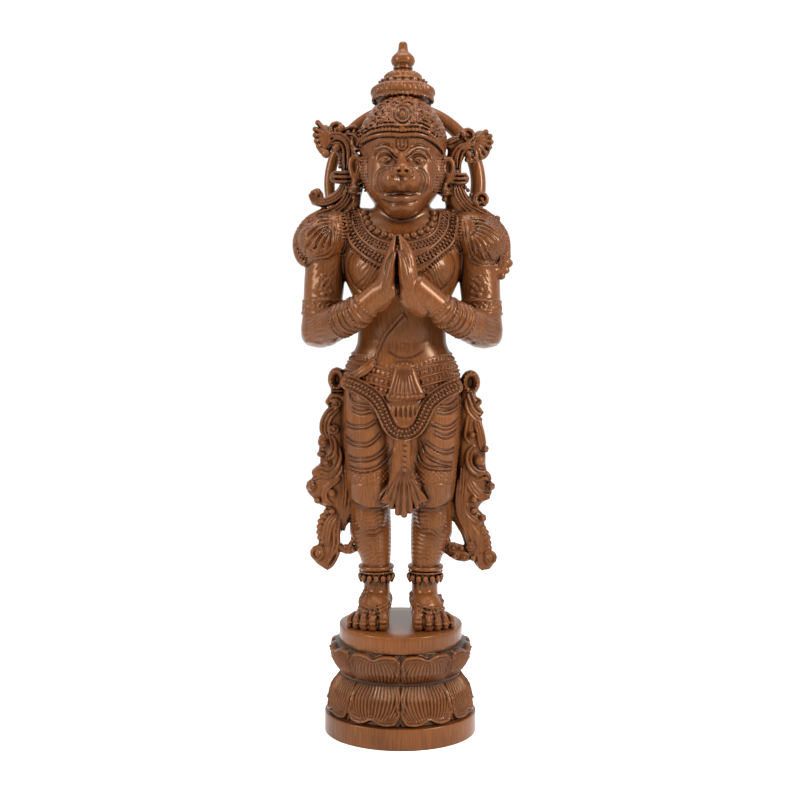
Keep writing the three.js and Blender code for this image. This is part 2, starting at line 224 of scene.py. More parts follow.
# %% [markdown]
# Scrolls, tails, cords, ridges and grooves are strands: a section that is
# carried along a curve. A curve object with a bevel would do for a loose cord,
# but these melt into the wood or are cut from it. So the curve is cut into
# short straight pieces and each point keeps the distance to the nearest one.
# %% Strands
def path_through(points, count):
    """A curve through the points, cut into steps of the same length."""
    p = np.array(points, float)
    ends = np.vstack([2 * p[0] - p[1], p, 2 * p[-1] - p[-2]])
    t = np.linspace(0, len(p) - 1, count * 4)
    i = np.minimum(t.astype(int), len(p) - 2)
    f = (t - i)[:, None]
    a, b, c, d = ends[i], ends[i + 1], ends[i + 2], ends[i + 3]
    curve = 0.5 * (2 * b + (c - a) * f + (2 * a - 5 * b + 4 * c - d) * f**2 + (3 * b - a - 3 * c + d) * f**3)
    length = np.r_[0, np.cumsum(np.linalg.norm(np.diff(curve[:, :3], axis=0), axis=1))]
    at = np.linspace(0, length[-1], count)
    return np.column_stack([np.interp(at, length, curve[:, k]) for k in range(p.shape[1])])


def piece_of_strand(x, y, z, start, end, facing):
    """Distance to one straight piece with an elliptic section."""
    along = end[:3] - start[:3]
    length = np.linalg.norm(along)
    t = along / length
    deep = np.array(facing, float) - np.dot(facing, t) * t
    deep /= np.linalg.norm(deep)
    wide = np.cross(t, deep)
    x, y, z = x - F(start[0]), y - F(start[1]), z - F(start[2])
    on = (x * F(t[0]) + y * F(t[1])) + z * F(t[2])
    at = np.clip(on, 0, F(length))
    share = at / F(length)
    a = F(start[3]) + share * F(end[3] - start[3])
    b = F(start[4]) + share * F(end[4] - start[4])
    e = (on - at) / np.minimum(a, b)
    u = ((x * F(wide[0]) + y * F(wide[1])) + z * F(wide[2])) / a
    v = ((x * F(deep[0]) + y * F(deep[1])) + z * F(deep[2])) / b
    near = np.sqrt(u * u + v * v + e * e + F(1e-8))
    u, v, e = u / a, v / b, e / np.minimum(a, b)
    steep = np.sqrt(u * u + v * v + e * e + F(1e-10))
    return (near - 1) * near / steep


def strand(points, way="add", blend=1.5, facing=(0, 1, 0), step=5.0):
    """Rows of place, half-width and half-depth, or of place and radius."""
    rows = np.array(points, float)
    if rows.shape[1] == 4:
        rows = np.column_stack([rows, rows[:, 3]])
    length = np.linalg.norm(np.diff(rows[:, :3], axis=0), axis=1).sum()
    path = path_through(rows, max(4, int(length / step) + 2))
    path[:, 3:] = np.maximum(path[:, 3:], 0.4)
    reach = path[:, 3:].max()

    def shape(x, y, z):
        field = np.full((x.size, y.size, z.size), FAR, F)
        xs, ys, zs = x.ravel(), y.ravel(), z.ravel()
        for start, end in zip(path[:-1], path[1:]):
            near = max(start[3:].max(), end[3:].max()) + blend + 3
            low = np.minimum(start[:3], end[:3]) - near
            high = np.maximum(start[:3], end[:3]) + near
            i0, i1 = xs.searchsorted((low[0], high[0]))
            j0, j1 = ys.searchsorted((low[1], high[1]))
            k0, k1 = zs.searchsorted((low[2], high[2]))
            if i0 == i1 or j0 == j1 or k0 == k1:
                continue
            part = field[i0:i1, j0:j1, k0:k1]
            value = piece_of_strand(x[i0:i1], y[:, j0:j1], z[:, :, k0:k1], start, end, facing)
            np.minimum(part, value, out=part)
        return field

    put(shape, path[:, :3].min(0) - reach, path[:, :3].max(0) + reach, way, blend)
    return path


def drawn(points, **how):
    """A strand through picture points with their depth and half-widths."""
    return strand(seen(points), **how)


print("a curve of three points is cut into", len(path_through([(0, 0, 0), (5, 2, 0), (9, 0, 0)], 8)),
    "points")

# %% [markdown]
# The tiers of the crown look turned on a lathe, so they come from an outline
# of radius and height. A Screw modifier turns an outline too, but its ropes
# and petals would then be separate pieces. Here the distance to the outline is
# worked out once on a flat sheet and then read for every point by its radius.
# %% Turned tiers
def turned(outline, middle=(0.0, 0.0), blend=1.0, relief=None):
    """A form of revolution from (radius, height) corners, bottom to top."""
    corners = np.array(outline, float)
    cell, margin = 0.5, 12
    r_line = np.arange(0, corners[:, 0].max() + margin, cell)
    z_line = np.arange(corners[:, 1].min() - margin, corners[:, 1].max() + margin, cell)
    r, z = np.meshgrid(r_line, z_line, indexing="ij")
    away = np.full(r.shape, 99.0)
    inside = np.zeros(r.shape, bool)
    closed = np.vstack([corners, [0, corners[-1, 1]], [0, corners[0, 1]], corners[:1]])
    for p, q in zip(closed[:-1], closed[1:]):
        edge = q - p
        share = ((r - p[0]) * edge[0] + (z - p[1]) * edge[1]) / max(edge @ edge, 1e-9)
        share = np.clip(share, 0, 1)
        gap = np.hypot(r - p[0] - share * edge[0], z - p[1] - share * edge[1])
        if max(p[0], q[0]) > 0:
            away = np.minimum(away, gap)
        crosses = (p[1] > z) != (q[1] > z)
        if p[1] != q[1]:
            inside ^= crosses & (r < p[0] + (z - p[1]) * edge[0] / edge[1])
    sheet = np.where(inside, -away, away).astype(F)

    def shape(x, y, z):
        radius = np.hypot(x - middle[0], y - middle[1])
        ri = np.clip(radius[:, :, 0] / cell, 0, len(r_line) - 1.01)
        zi = np.clip((z.ravel() - z_line[0]) / cell, 0, len(z_line) - 1.01)
        i, k = ri.astype(int)[:, :, None], zi.astype(int)[None, None, :]
        f, g = (ri - ri.astype(int))[:, :, None], (zi - zi.astype(int))[None, None, :]
        value = (sheet[i, k] * (1 - f) + sheet[i + 1, k] * f) * (1 - g)
        value = value + (sheet[i, k + 1] * (1 - f) + sheet[i + 1, k + 1] * f) * g
        if relief is not None:
            value = value - relief(np.arctan2(x - middle[0], middle[1] - y), z, radius)
        return value.astype(F)

    most = corners[:, 0].max() + 2
    low = [middle[0] - most, middle[1] - most, corners[:, 1].min()]
    high = [middle[0] + most, middle[1] + most, corners[:, 1].max()]
    put(shape, low, high, "add", blend)


# %% [markdown]
# ## Filling a region
#
# `fill` works through the list for one box of space and leaves a grid of
# distances, below zero in the wood. A volume object could hold such a grid as
# well, but plain arrays can be read back at any place, and `sample` does that.
# %% Filling a region
def fill(low, high, cell, start=0, stop=None):
    """Distances on a grid from low to high, with the forms of the list."""
    x, y, z = (np.arange(a, b + cell, cell, dtype=F) for a, b in zip(low, high))
    field = np.full((x.size, y.size, z.size), FAR, F)
    for box_low, box_high, way, soft, shape in forms[start:stop]:
        i0, i1 = x.searchsorted((box_low[0], box_high[0]))
        j0, j1 = y.searchsorted((box_low[1], box_high[1]))
        k0, k1 = z.searchsorted((box_low[2], box_high[2]))
        if i0 == i1 or j0 == j1 or k0 == k1:
            continue
        part = field[i0:i1, j0:j1, k0:k1]
        value = shape(x[i0:i1, None, None], y[None, j0:j1, None], z[None, None, k0:k1])
        if way == "add":
            part[...] = blended(part, value, soft)
        elif way == "cut":
            part[...] = -blended(-part, value, soft)
        else:
            part[...] = part - value
    return x, y, z, field


def sample(grid, x, y, z):
    """Values between the grid's points."""
    gx, gy, gz, field = grid
    cell = gx[1] - gx[0]
    u = np.clip((x - gx[0]) / cell, 0, gx.size - 1.01)
    v = np.clip((y - gy[0]) / cell, 0, gy.size - 1.01)
    w = np.clip((z - gz[0]) / cell, 0, gz.size - 1.01)
    i, j, k = u.astype(int), v.astype(int), w.astype(int)
    u, v, w = u - i, v - j, w - k
    near = (field[i, j, k] * (1 - w) + field[i, j, k + 1] * w) * (1 - v)
    near = near + (field[i, j + 1, k] * (1 - w) + field[i, j + 1, k + 1] * w) * v
    far = (field[i + 1, j, k] * (1 - w) + field[i + 1, j, k + 1] * w) * (1 - v)
    far = far + (field[i + 1, j + 1, k] * (1 - w) + field[i + 1, j + 1, k + 1] * w) * v
    return near * (1 - u) + far * u


print("an empty box of 10 mm has", fill((0, 0, 0), (10, 10, 10), 2.0)[3].size, "points")

# %% [markdown]
# The mesh is laid where the distances pass through zero. Marching cubes would
# do it with many slivers. Here one corner goes in every cell that the surface
# passes through, at the mean of the places where it crosses the cell's edges,
# and the corners are joined with four-sided faces, even in size and closed all
# round.
# %% Laying the mesh
def lay_mesh(grid):
    """Corners in millimetres and four-sided faces where the field is zero."""
    gx, gy, gz, field = grid
    cell = float(gx[1] - gx[0])
    solid = field < 0
    nx, ny, nz = field.shape
    total = np.zeros((nx - 1, ny - 1, nz - 1), np.uint8)
    for i in (0, 1):
        for j in (0, 1):
            for k in (0, 1):
                total += solid[i:nx - 1 + i, j:ny - 1 + j, k:nz - 1 + k]
    cells = np.argwhere((total > 0) & (total < 8))
    number = np.full(total.shape, -1, np.int32)
    number[tuple(cells.T)] = np.arange(len(cells))
    place = np.zeros((len(cells), 3))
    hits = np.zeros(len(cells))
    corners = [(i, j, k) for i in (0, 1) for j in (0, 1) for k in (0, 1)]
    value = {c: field[tuple((cells + c).T)] for c in corners}
    for a in corners:
        for axis in range(3):
            if a[axis]:
                continue
            b = tuple(1 if n == axis else a[n] for n in range(3))
            crossed = (value[a] < 0) != (value[b] < 0)
            share = value[a][crossed] / (value[a][crossed] - value[b][crossed])
            point = np.tile(np.array(a, float), (len(share), 1))
            point[:, axis] += share
            place[crossed] += point
            hits[crossed] += 1
    points = cells + place / hits[:, None]
    faces = []
    for axis in range(3):
        here = [slice(None)] * 3
        there = [slice(None)] * 3
        here[axis], there[axis] = slice(0, -1), slice(1, None)
        first, second = solid[tuple(here)], solid[tuple(there)]
        for leaving in (True, False):
            edge = np.argwhere((first & ~second) if leaving else (~first & second))
            others = [n for n in range(3) if n != axis]
            keep = (edge[:, others] > 0).all(1) & (edge[:, others[0]] < total.shape[others[0]])
            keep &= edge[:, others[1]] < total.shape[others[1]]
            edge = edge[keep]
            quad = []
            for p, q in ((1, 1), (0, 1), (0, 0), (1, 0)):
                at = edge.copy()
                at[:, others[0]] -= p
                at[:, others[1]] -= q
                quad.append(number[tuple(at.T)])
            quad = np.stack(quad, 1)
            if leaving != (axis != 1):
                quad = quad[:, ::-1]
            faces.append(quad)
    origin = np.array([gx[0], gy[0], gz[0]])
    return origin + points * cell, np.vstack(faces)


ticks = np.arange(-5, 6, dtype=F)
trial = np.sqrt(ticks[:, None, None]**2 + ticks[:, None]**2 + ticks**2) - 3
print("a ball of 3 mm takes", len(lay_mesh((ticks, ticks, ticks, trial))[1]), "faces")

# %% [markdown]
# ## The trunk and the limbs
#
# The large masses come first, as a carver roughs them out: the chest and the
# waist in one column, then balls for the muscles. They could be modelled from
# a box with loop cuts, but rings of measured half-widths are easier to correct
# against the photo. Both sides are the same here, so each form is made for
# side -1, the figure's right, and for side 1.
# %% Trunk
BOTH = (-1, 1)


def sided(rings, side, place=1):
    """The same rings for one side: the x value changes its sign."""
    return [[*ring[:place], side * ring[place], *ring[place + 1:]] for ring in rings]


column([
    [300, 0, 2, 70, 46], [318, 0, 4, 72, 47], [355, 0, 1, 66, 43], [375, 0, 0, 59, 40], [400, 0, 0, 58, 40],
    [428, 0, 0, 64, 43], [455, 0, 0, 75, 46], [480, 0, 1, 82, 46], [505, 0, 3, 85, 43], [525, 0, 5, 78, 38],
    [541, 0, 6, 54, 34], [560, 0, 2, 34, 33], [585, 0, -2, 33, 34],
], blend=6)
for side in BOTH:
    ball((side * 34, -20, 470), (33, 26, 31), blend=8)
    ball((side * 30, 30, 482), (36, 18, 34), blend=14)
ball((0, -32, 408), (34, 12, 34), blend=14)
ball((0, 14, 318), (68, 42, 42), blend=8)
for side in BOTH:
    ball((side * 30, 32, 306), (30, 24, 30), blend=10)
strand([[0, 48, 360, 5], [0, 47, 430, 5], [0, 46, 490, 5]], way="cut", blend=9)
ball((0.5, -45, 366), (3.2, 4, 3.6), way="cut", blend=3)
tell("the trunk")

# %% [markdown]
# The legs are stout and end in broad feet that stand flat on the slab, with
# five toes each. The folded cloth over a thigh is the thigh's own column down
# to its hem. The toes could be copies of one toe, but each has its own length
# and width in the photo, so they come from a short table, and a cut strand
# parts each from the next.
# %% Legs and feet
TOES = ((22.5, -48, 9.4), (36.0, -50, 7.6), (47.2, -47, 7.0), (57.2, -41, 6.4), (66.0, -33, 5.8))


def hem(x, y):
    """The cloth's lower edge rises a little towards the outside."""
    return 0.3 * np.clip(np.abs(x) - 44, 0, 40)


column([[161, 1, -5, 24, 24], [200, 1, -4, 30, 30], [250, 1, -3, 34, 37], [300, 1, -2, 40, 41]], blend=6)
for side in BOTH:
    column(sided([
        [158, 40, -2, 28, 30.5], [170, 40, -2, 31, 33], [200, 40, -1, 34, 37], [235, 40, 1, 37, 41],
        [270, 39, 3, 39, 45], [298, 38, 4, 39.6, 45.6], [316, 37, 5, 34, 38],
    ], side), blend=3, shift=hem)
    column(sided([
        [20, 32, 6, 18, 20], [49, 32, 7, 17.5, 20], [75, 33, 8, 19, 21], [100, 37, 10, 24, 28],
        [122, 41, 10, 28, 31], [145, 41, 7, 27, 30], [180, 40, 0, 27, 29],
    ], side), blend=3)
    ball((side * 41, -19, 143), (17, 9, 18), blend=12)
    strand(sided([[32, 36, 10, 13, 9], [32, 18, 20, 19, 19], [33, -4, 24, 20, 22], [37, -19, 16, 24, 14],
        [41, -31, 8, 27, 7]], side, 0), facing=(0, 0.3, 1), blend=4)
    for x, y, r in TOES:
        strand([[side * (x * 0.8 + 7), y + 24, r * 2.3, r * 0.8], [side * x, y + 9, r * 1.9, r * 0.8],
                [side * x, y + 1, r * 0.9, r * 0.84]], blend=0.5)
    for (x1, y1, r1), (x2, y2, r2) in zip(TOES[:-1], TOES[1:]):
        x, y = x1 + (x2 - x1) * r1 / (r1 + r2), (y1 + y2) / 2
        strand([[side * (x * 0.82 + 6.5), y + 20, 27, 2.0], [side * x, y + 7, 21, 2.3],
            [side * x, y - 3, 13, 2.4], [side * x, y - 5, 4, 2.4]], way="cut", blend=1.2)
    ball((side * 15.5, 7, 31), (4.5, 5.5, 6.5), blend=5)
    ball((side * 51, 8, 27), (6, 7, 8), blend=4)
tell("the legs")

# %% [markdown]
# The arms hang from the shoulders, bend at the elbows by the waist and meet in
# front of the chest, where the palms are pressed together. The gap between
# the arm and the trunk is real and stays open. Fingers could be modelled one
# by one, but here they lie close together, so each hand is one flat strand
# and the lines between the fingers are cut later.
# %% Arms and hands
forearms = []
for side in BOTH:
    column(sided([
        [372, 111, -10, 17, 19], [392, 109, -8, 24, 25], [409, 107, -3, 25, 27], [431, 105, 0, 26, 27],
        [462, 103, 3, 27, 28], [500, 99, 4, 27, 30], [530, 92, 3, 23, 26],
    ], side), blend=4)
    forearm = strand(sided([
        [117, 1, 384, 17, 17], [104, -16, 390, 24, 24], [84, -42, 397, 22, 22], [67, -60, 404, 19, 20],
        [51, -74, 413, 17, 18], [40, -81, 423, 14, 16], [18, -90, 440, 12, 16],
    ], side, 0), facing=(0, 0, 1), blend=4)
    forearms.append(forearm)
    ball((side * 88, 0, 522), (30, 30, 26), blend=8)
strand([[-32, -76, 425, 17, 15], [-23.5, -83, 434, 16, 16], [-19, -88, 446, 12.6, 16],
    [-17, -89, 463, 10.4, 15], [-13.8, -89, 479, 7.2, 13], [-11.4, -89, 491, 4.8, 10],
    [-8.6, -89, 503, 2.2, 6]], blend=2)
strand([
    [27, -76, 421, 19, 15], [13, -84, 430, 17.5, 16], [8, -88, 444, 14.2, 16], [6.2, -89, 463, 12.8, 15],
    [4.2, -89, 479, 10.8, 13], [0.8, -89, 492, 7.2, 10], [-3.6, -89, 503, 2.6, 6],
], blend=0.5)
strand([
    [9, -92, 436, 9, 12], [4, -97, 450, 9, 12], [1.4, -99, 463, 8.0, 11], [-0.8, -100, 473, 5.6, 9],
    [-3.8, -100, 481.5, 2.6, 6],
], blend=0.6)
strand([[-20, -92, 438, 8, 12], [-15.6, -97, 452, 7, 12], [-13.6, -99, 464, 5.8, 11],
    [-11.2, -100, 473, 4.2, 9], [-8.9, -100, 480.5, 2.2, 6]], blend=0.6)
tell("the limbs")

# %% [markdown]
# ## The head
#
# The face is a monkey's: a broad, smooth skull, a short snout in two soft
# puffs under a flat nose, a wide closed mouth, round cheeks running into a
# small chin, and strongly arched brows over almond eyes. A head is mostly
# sculpted. Here the masses are balls that melt into each other, because a few
# centres and half-widths are easy to move until the face sits as in the photo.
# %% Head
ball((0, -11, 598), (55, 50, 50), blend=6)
ball((0, -10, 578), (45, 44, 36), blend=6)
ball((0, -36, 556), (28, 28, 20), blend=9)
for side in BOTH:
    ball((side * 23, -30, 577), (22, 27, 24), blend=8)
    ball((side * 11.8 - 2, -58, 578), (13.6, 21, 15.5), blend=4)
    ball((side * 21, -60, 606), (14, 8, 8), way="cut", blend=6)
ball((-2, -60, 572), (10, 16, 11), blend=4)
ball((-2, -47, 555), (17, 21, 7), blend=3.5)
ball((-1, -42, 545), (19, 21, 11), blend=8)
drawn([(401, 155.5, -57.5, 5), (401, 161, -63, 6), (401.5, 166, -70, 7.4), (402, 169.5, -75, 9)], blend=3)
for side in BOTH:
    ball((side * 8.6, -73, 587), (7.5, 8, 6.4), blend=1.6)
    ball((side * 4.6, -83, 586), (2.6, 6, 1.9), way="cut", blend=0.8)
tell("the face's masses")

# %% [markdown]
# ## The crown
#
# A close cap rises from a brow band that is high over the forehead and low at
# the ears. It carries a turned stack: a cove, a roped ring, a domed tier with
# a ledge, a collar, an onion-shaped bulb and a short stub. The cap isn't
# round, so it is a column, and the stack above is turned from one outline.
# %% Crown
def raised_front(x, y):
    """How far the brow line stands above its height at the ears."""
    front = np.clip(-(y + 4) / np.sqrt(x * x + (y + 4) ** 2 + 1), 0, 1)
    return 20 * front**2


column([
    [600, 0, 2, 52, 48], [622, 0, -1, 57, 53], [641, 0, -6, 58.5, 56], [655, 0, -6, 55.5, 53],
    [670, 0, -5, 48, 46.5], [681, 0, -3, 40.5, 40], [689, 0, -1, 34, 34],
], blend=2, shift=lambda x, y: raised_front(x, y) * 0.3)


def roped(turn, z, radius):
    """Slanting lobes round the ring and petals on the domed tier."""
    ring = np.exp(-(((z - 706) / 3.6) ** 4)) * (radius > 36)
    lobes = 0.8 * np.cos(40 * turn + 0.35 * (z - 706)) * ring
    lobes = lobes + 0.7 * np.cos(44 * turn - 0.35 * z) * np.exp(-(((z - 695.5) / 2.4) ** 4)) * (radius > 36)
    dome = np.exp(-(((z - 728) / 4.0) ** 4)) * (radius > 12)
    return lobes + 0.7 * np.cos(22 * turn) * dome


turned([(26, 688), (27, 697.5), (31, 698), (36, 695.4), (40.0, 692.6), (41.2, 694), (41.0, 697),
    (39.4, 698.4), (41.6, 700.2), (42.6, 704.5), (41.8, 709.4), (38.5, 712), (33, 713.5), (31, 716),
    (31.5, 719), (28, 720.3), (25.8, 722), (24.8, 727), (20.5, 730.8), (13.5, 733.6), (11.0, 735),
    (12.9, 736), (13.1, 739), (11.2, 740.5), (14.8, 743.5), (16.1, 748), (15.1, 752.5), (12, 756),
    (8.0, 759.5), (6.5, 763), (5.7, 770.5), (4.5, 773)], blend=1.5, relief=roped)
LEDGE_BEADS = 18
for number in range(LEDGE_BEADS):
    turn = number * 2 * math.pi / LEDGE_BEADS
    ball((31 * math.sin(turn), 31 * math.cos(turn), 718.5), (2.6, 2.6, 2.0), blend=0.8)
tell("the crown")

# %% [markdown]
# ## Scrolls and tresses beside the head
#
# Each side has a knot at the ear, a stem that rises into two curls and a
# ribbed fan, and tresses that sweep down over the shoulder and end in a large
# curl. They could be traced as flat outlines and given thickness, but the
# carver rounded every strand. So curls, volutes, bundles and fans are small
# functions that lay round strands side by side.
# %% Curls, bundles and fans
def curl(px, row, depth, radius, thick, turns=1.1, start=90, way=1, tip=0.6, squeeze=1.0):
    """A volute seen from the front, wound inwards round its eye."""
    rows = []
    count = int(10 * turns) + 3
    for number in range(count):
        share = number / (count - 1)
        angle = math.radians(start + way * 360 * turns * share)
        reach = radius * (1 - 0.72 * share**2.4)
        rows.append((px + reach * math.cos(angle), row - squeeze * reach * math.sin(angle),
            depth - 2 * share, thick * (1 - (1 - tip) * share),
            thick * 1.25 * (1 - 0.5 * (1 - tip) * share)))
    return rows


def volute(px, row, depth, size, thick, start, way, turns, eye):
    """A band wound round a ball. size is the whole radius in picture points."""
    knob((px, row, depth + 5), (size * POINT * 0.85, 6, size * POINT * 0.85), blend=1)
    drawn(curl(px, row, depth - 1, size - thick * 0.8 / POINT, thick * 0.8, turns + 0.35, start, way),
        blend=0.4)
    knob((px, row, depth - 3), (size * POINT * eye, 5.5, size * POINT * eye), blend=0.4)


def bundle(points, wide, count, thick, deep=6.0, blend=0.4, narrow=0.6):
    """Strands side by side along a line of column, row and depth."""
    line = path_through(points, 4 * len(points))
    way = np.gradient(line[:, :2], axis=0)
    way /= np.linalg.norm(way, axis=1)[:, None] + 1e-9
    taper = np.interp(np.linspace(0, 1, len(line)), (0, 0.15, 0.8, 1), (narrow, 1, 1, narrow))
    for offset in np.linspace(-wide / 2, wide / 2, count):
        moved = line[:, :2] + np.column_stack([-way[:, 1], way[:, 0]]) * (offset * taper)[:, None]
        rows = np.column_stack([moved, line[:, 2], thick * taper, np.full(len(line), deep)])
        drawn(rows, blend=blend)


def fan(hub, tips, depth, thick=4.2):
    """Ribs that spread from the hub to the scalloped edge, each with a round end."""
    for tip in tips:
        start = (hub[0] * 0.75 + tip[0] * 0.25, hub[1] * 0.75 + tip[1] * 0.25)
        drawn([(*start, depth, thick * 0.8, 6), (*tip, depth + 1, thick * 0.85, 5)], blend=0.5)
        knob((*tip, depth - 2), (thick * 0.9, 4, thick * 0.9), blend=0.5)


print("curls, volutes, bundles and fans can be drawn")

# %% [markdown]
# The scrolls on the figure's right stand on the left of the photo. A flat
# backing is laid first, so that no light comes through where the real one is
# solid, and the curls lie on it. A mirrored copy of one side would be shorter,
# but the two sides differ in the photo, so each is drawn by itself.
# %% Scrolls on the figure's right
drawn([(348, 171, 6, 10, 8), (347, 158, 6, 11, 8), (343, 147, 6, 13, 8), (338, 138, 6, 13, 8),
       (335.5, 131, 6, 9, 8)], blend=2)
knob((324, 140, 6), (13, 5, 20), blend=2)
knob((354, 141, 2), (10, 8, 17), blend=2)
volute(336.4, 129.3, 0, 8.8, 4.0, 230, -1, 0.8, 0.2)
knob((340.6, 128.6, -4), (5.6, 7, 5.6), blend=0.5)
bundle([(329, 138, 0), (334, 135.5, -1), (341, 136.5, -2), (347, 141, -2), (350, 148, -1),
    (350.5, 158, 0), (350, 169, 1)], 3.4, 2, 2.6)
bundle([(331.5, 143.5, 0), (336, 141.5, -1), (341, 143, -1), (344.5, 148.5, -1), (345.5, 158, 0),
    (345.5, 169, 1)], 4.0, 2, 2.6)
knob((335.7, 148.8, -3), (6.2, 7, 6.2), blend=0.5)
fan((333, 140), [(317.2, 123), (314.6, 129.6), (314.6, 135.6), (315.8, 141.4), (318, 146.8),
    (321, 151.4)], 0)
knob((325.6, 154, 0), (6.6, 7, 6.0), blend=0.6)
for curve in ([(343, 131, -1), (348, 128.5, -2), (353, 127, -2), (357, 129, -3)],
        [(345, 134.5, -1), (351, 135, -2), (356, 137.5, -3), (357.5, 142, -4)],
        [(352, 139, -2), (352.5, 145, -3), (355.5, 150, -4), (359.5, 150, -6)],
        [(353.5, 148, -2), (354.5, 154, -4), (359, 156.5, -8)]):
    bundle(curve, 0, 1, 2.6)
for px, row in ((358.5, 132), (354, 131), (358.5, 146), (353, 142.5), (339, 163), (339.3, 167), (339, 159)):
    knob((px, row, -3), 2.7, blend=0.5)
drawn([(352, 177.5, 1, 8, 7), (334.5, 177.5, 1, 7.4, 7)], blend=1)
for row, thick in ((172.8, 2.5), (177.3, 2.9), (182, 2.5)):
    drawn([(352.5, row, -4, thick, 5), (343, row + 0.4, -7, thick, 5), (334.5, row, -4, thick * 0.9, 5)],
        blend=0.4)
drawn([(345, 183, 3, 6, 7), (341, 192, 3, 7, 7), (333, 199, 3, 7, 7), (322, 203, 3, 6, 7),
    (314, 202, 4, 5, 6)], blend=1)
bundle([(345, 183, -1), (341.5, 192, -2), (334, 199, -2), (323, 203, -1), (314, 200.5, 0),
    (310.2, 195, 0)], 5.4, 3, 2.3)
volute(316.2, 196.4, 0, 8.2, 3.9, 250, -1, 0.75, 0.2)
knob((316.8, 192.6, -3), (5.6, 6.6, 5.4), blend=0.5)
drawn([(351, 185, 2, 7, 8), (348, 197, 2, 8, 8), (341, 207, 2, 8, 8), (330, 214, 2, 7, 8),
    (318, 217, 3, 5, 7)], blend=1)
bundle([(351, 184, -3), (348, 196, -4), (341, 206, -5), (330, 213, -4), (317, 217, -2)], 6.0, 3, 2.3)
drawn([(356, 196, 0, 6, 8), (354, 205, 0, 7, 9), (346, 213, 1, 8, 9)], blend=1.5)
tell("the right scrolls")

# %% [markdown]
# The other side has the same parts in other places: the curl is larger, the
# fan lies lower and the tresses sweep further out over the shoulder. Its
# numbers are picture points again, because that keeps the outline true to the
# photo.
# %% Scrolls on the figure's left
drawn([(454, 173, 6, 9, 8), (454, 161, 6, 10, 8), (457, 150, 6, 13, 8), (463, 141, 6, 13, 8),
    (468, 136, 6, 9, 8)], blend=2)
knob((480, 145, 6), (14, 5, 20), blend=2)
volute(467.2, 135.6, 0, 8.6, 4.0, 150, -1, 0.75, 0.2)
knob((462.6, 134.0, -4), (5.2, 7, 5.2), blend=0.5)
bundle([(474.5, 137, 0), (471, 142.5, -1), (464.5, 145.8, -2), (458, 148.6, -2), (453.3, 155.5, -1),
    (451.4, 164, 0), (452, 172, 1)], 3.4, 2, 2.6)
bundle([(446, 143.5, 0), (452, 140, -1), (458, 138.6, -1)], 3.0, 2, 2.4)
drawn([(447, 146, 4, 4, 6), (452, 147, 5, 6, 6)], blend=1.5)
bundle([(473.5, 148.5, 0), (468, 146.6, -1), (462.6, 149.6, -1), (458.8, 157, -1), (457.2, 168, 0)], 3.8,
    2, 2.5)
knob((468, 154.4, -3), (5.4, 7, 5.4), blend=0.5)
for px, row in ((470, 160), (474, 158.5), (466.5, 159.5)):
    knob((px, row, -1), 3.6, blend=0.6)
fan((473, 141), [(485.3, 131.6), (489.4, 136), (490.4, 141.6), (488.8, 147), (484.8, 152.2),
    (480.8, 156.6), (476, 159.8)], 0)
drawn([(452, 178.6, 1, 8, 7), (463.5, 178.6, 1, 7.4, 7)], blend=1)
for row, thick in ((174.2, 2.5), (178.6, 2.9), (183.0, 2.5)):
    drawn([(450.5, row, -4, thick, 5), (458, row + 0.3, -7, thick, 5), (464, row, -4, thick * 0.9, 5)],
        blend=0.4)
drawn([(456, 185, 3, 8, 7), (459, 196, 3, 10, 7), (468, 207, 3, 10, 7), (480, 214, 3, 8, 7),
    (491, 218, 4, 5, 6)], blend=1)
bundle([(456, 184.5, -1), (459.5, 196, -2), (467, 206, -3), (478, 212.5, -3), (487, 216.5, -1),
    (492, 219, 0)], 9.0, 4, 2.4)
volute(480.4, 198.8, -1, 8.4, 3.8, -60, 1, 0.85, 0.2)
knob((475.4, 203.2, -5), (5.0, 6.6, 5.0), blend=0.5)
for px, row in ((467.5, 190), (470.5, 194.5), (464.5, 187)):
    knob((px, row, -1), 2.8, blend=0.5)
drawn([(450, 187, 2, 6, 8), (452, 198, 2, 8, 9), (459, 208, 2, 9, 9), (468, 214, 3, 8, 9)], blend=1.5)
for px, row, size in ((484, 211.5, 4.4), (491.5, 217, 4.6), (495, 220, 3.4)):
    knob((px, row, -1), (size, 5, size * 0.9), blend=0.8)
tell("the scrolls beside the head")

# %% [markdown]
# ## Ears and pendants
#
# The ears are open shells with a rolled rim, and from each hangs a pendant of
# a few stacked drops. A dent and a strand round it give the shell, which is
# simpler than a bent sheet and has no thin edge that could let light through.
# %% Ears
for side in BOTH:
    ball((side * 60, -9, 600), (10, 9, 19), blend=2)
    ball((side * 61, -19, 604), (4.6, 7, 9.5), way="cut", blend=2)
drawn([(360, 160, -16, 3.0), (356, 157.0, -15, 3.6), (351.4, 159.5, -14, 3.8), (350, 166, -13, 3.6),
       (351.6, 174, -13, 3.6), (355.4, 181.5, -13, 4.0)], blend=0.8)
drawn([(443, 161, -16, 3.0), (447, 158.6, -15, 3.6), (451.4, 162.5, -14, 3.8), (451.8, 169, -13, 3.6),
       (449.4, 176, -13, 3.6), (445.6, 182, -13, 4.0)], blend=0.8)
for px, row in ((353.8, 190), (443.8, 191.5)):
    for drop, size in ((-6.6, 4.4), (0, 8.2), (7.6, 3.8)):
        knob((px, row + drop, -13), (size, size, size * 0.92), blend=0.4)
    for drop in (-2.2, 2.2):
        drawn([(px - 6, row + drop, -12, 1.2, 4), (px, row + drop + 0.8, -21, 1.2, 3),
            (px + 6, row + drop, -12, 1.2, 4)], blend=0.3)
for side in BOTH:
    strand([[side * 57, 8, 612, 11], [side * 61, 8, 588, 10], [side * 66, 8, 566, 10],
        [side * 74, 9, 542, 13]], blend=3)
tell("the ears")

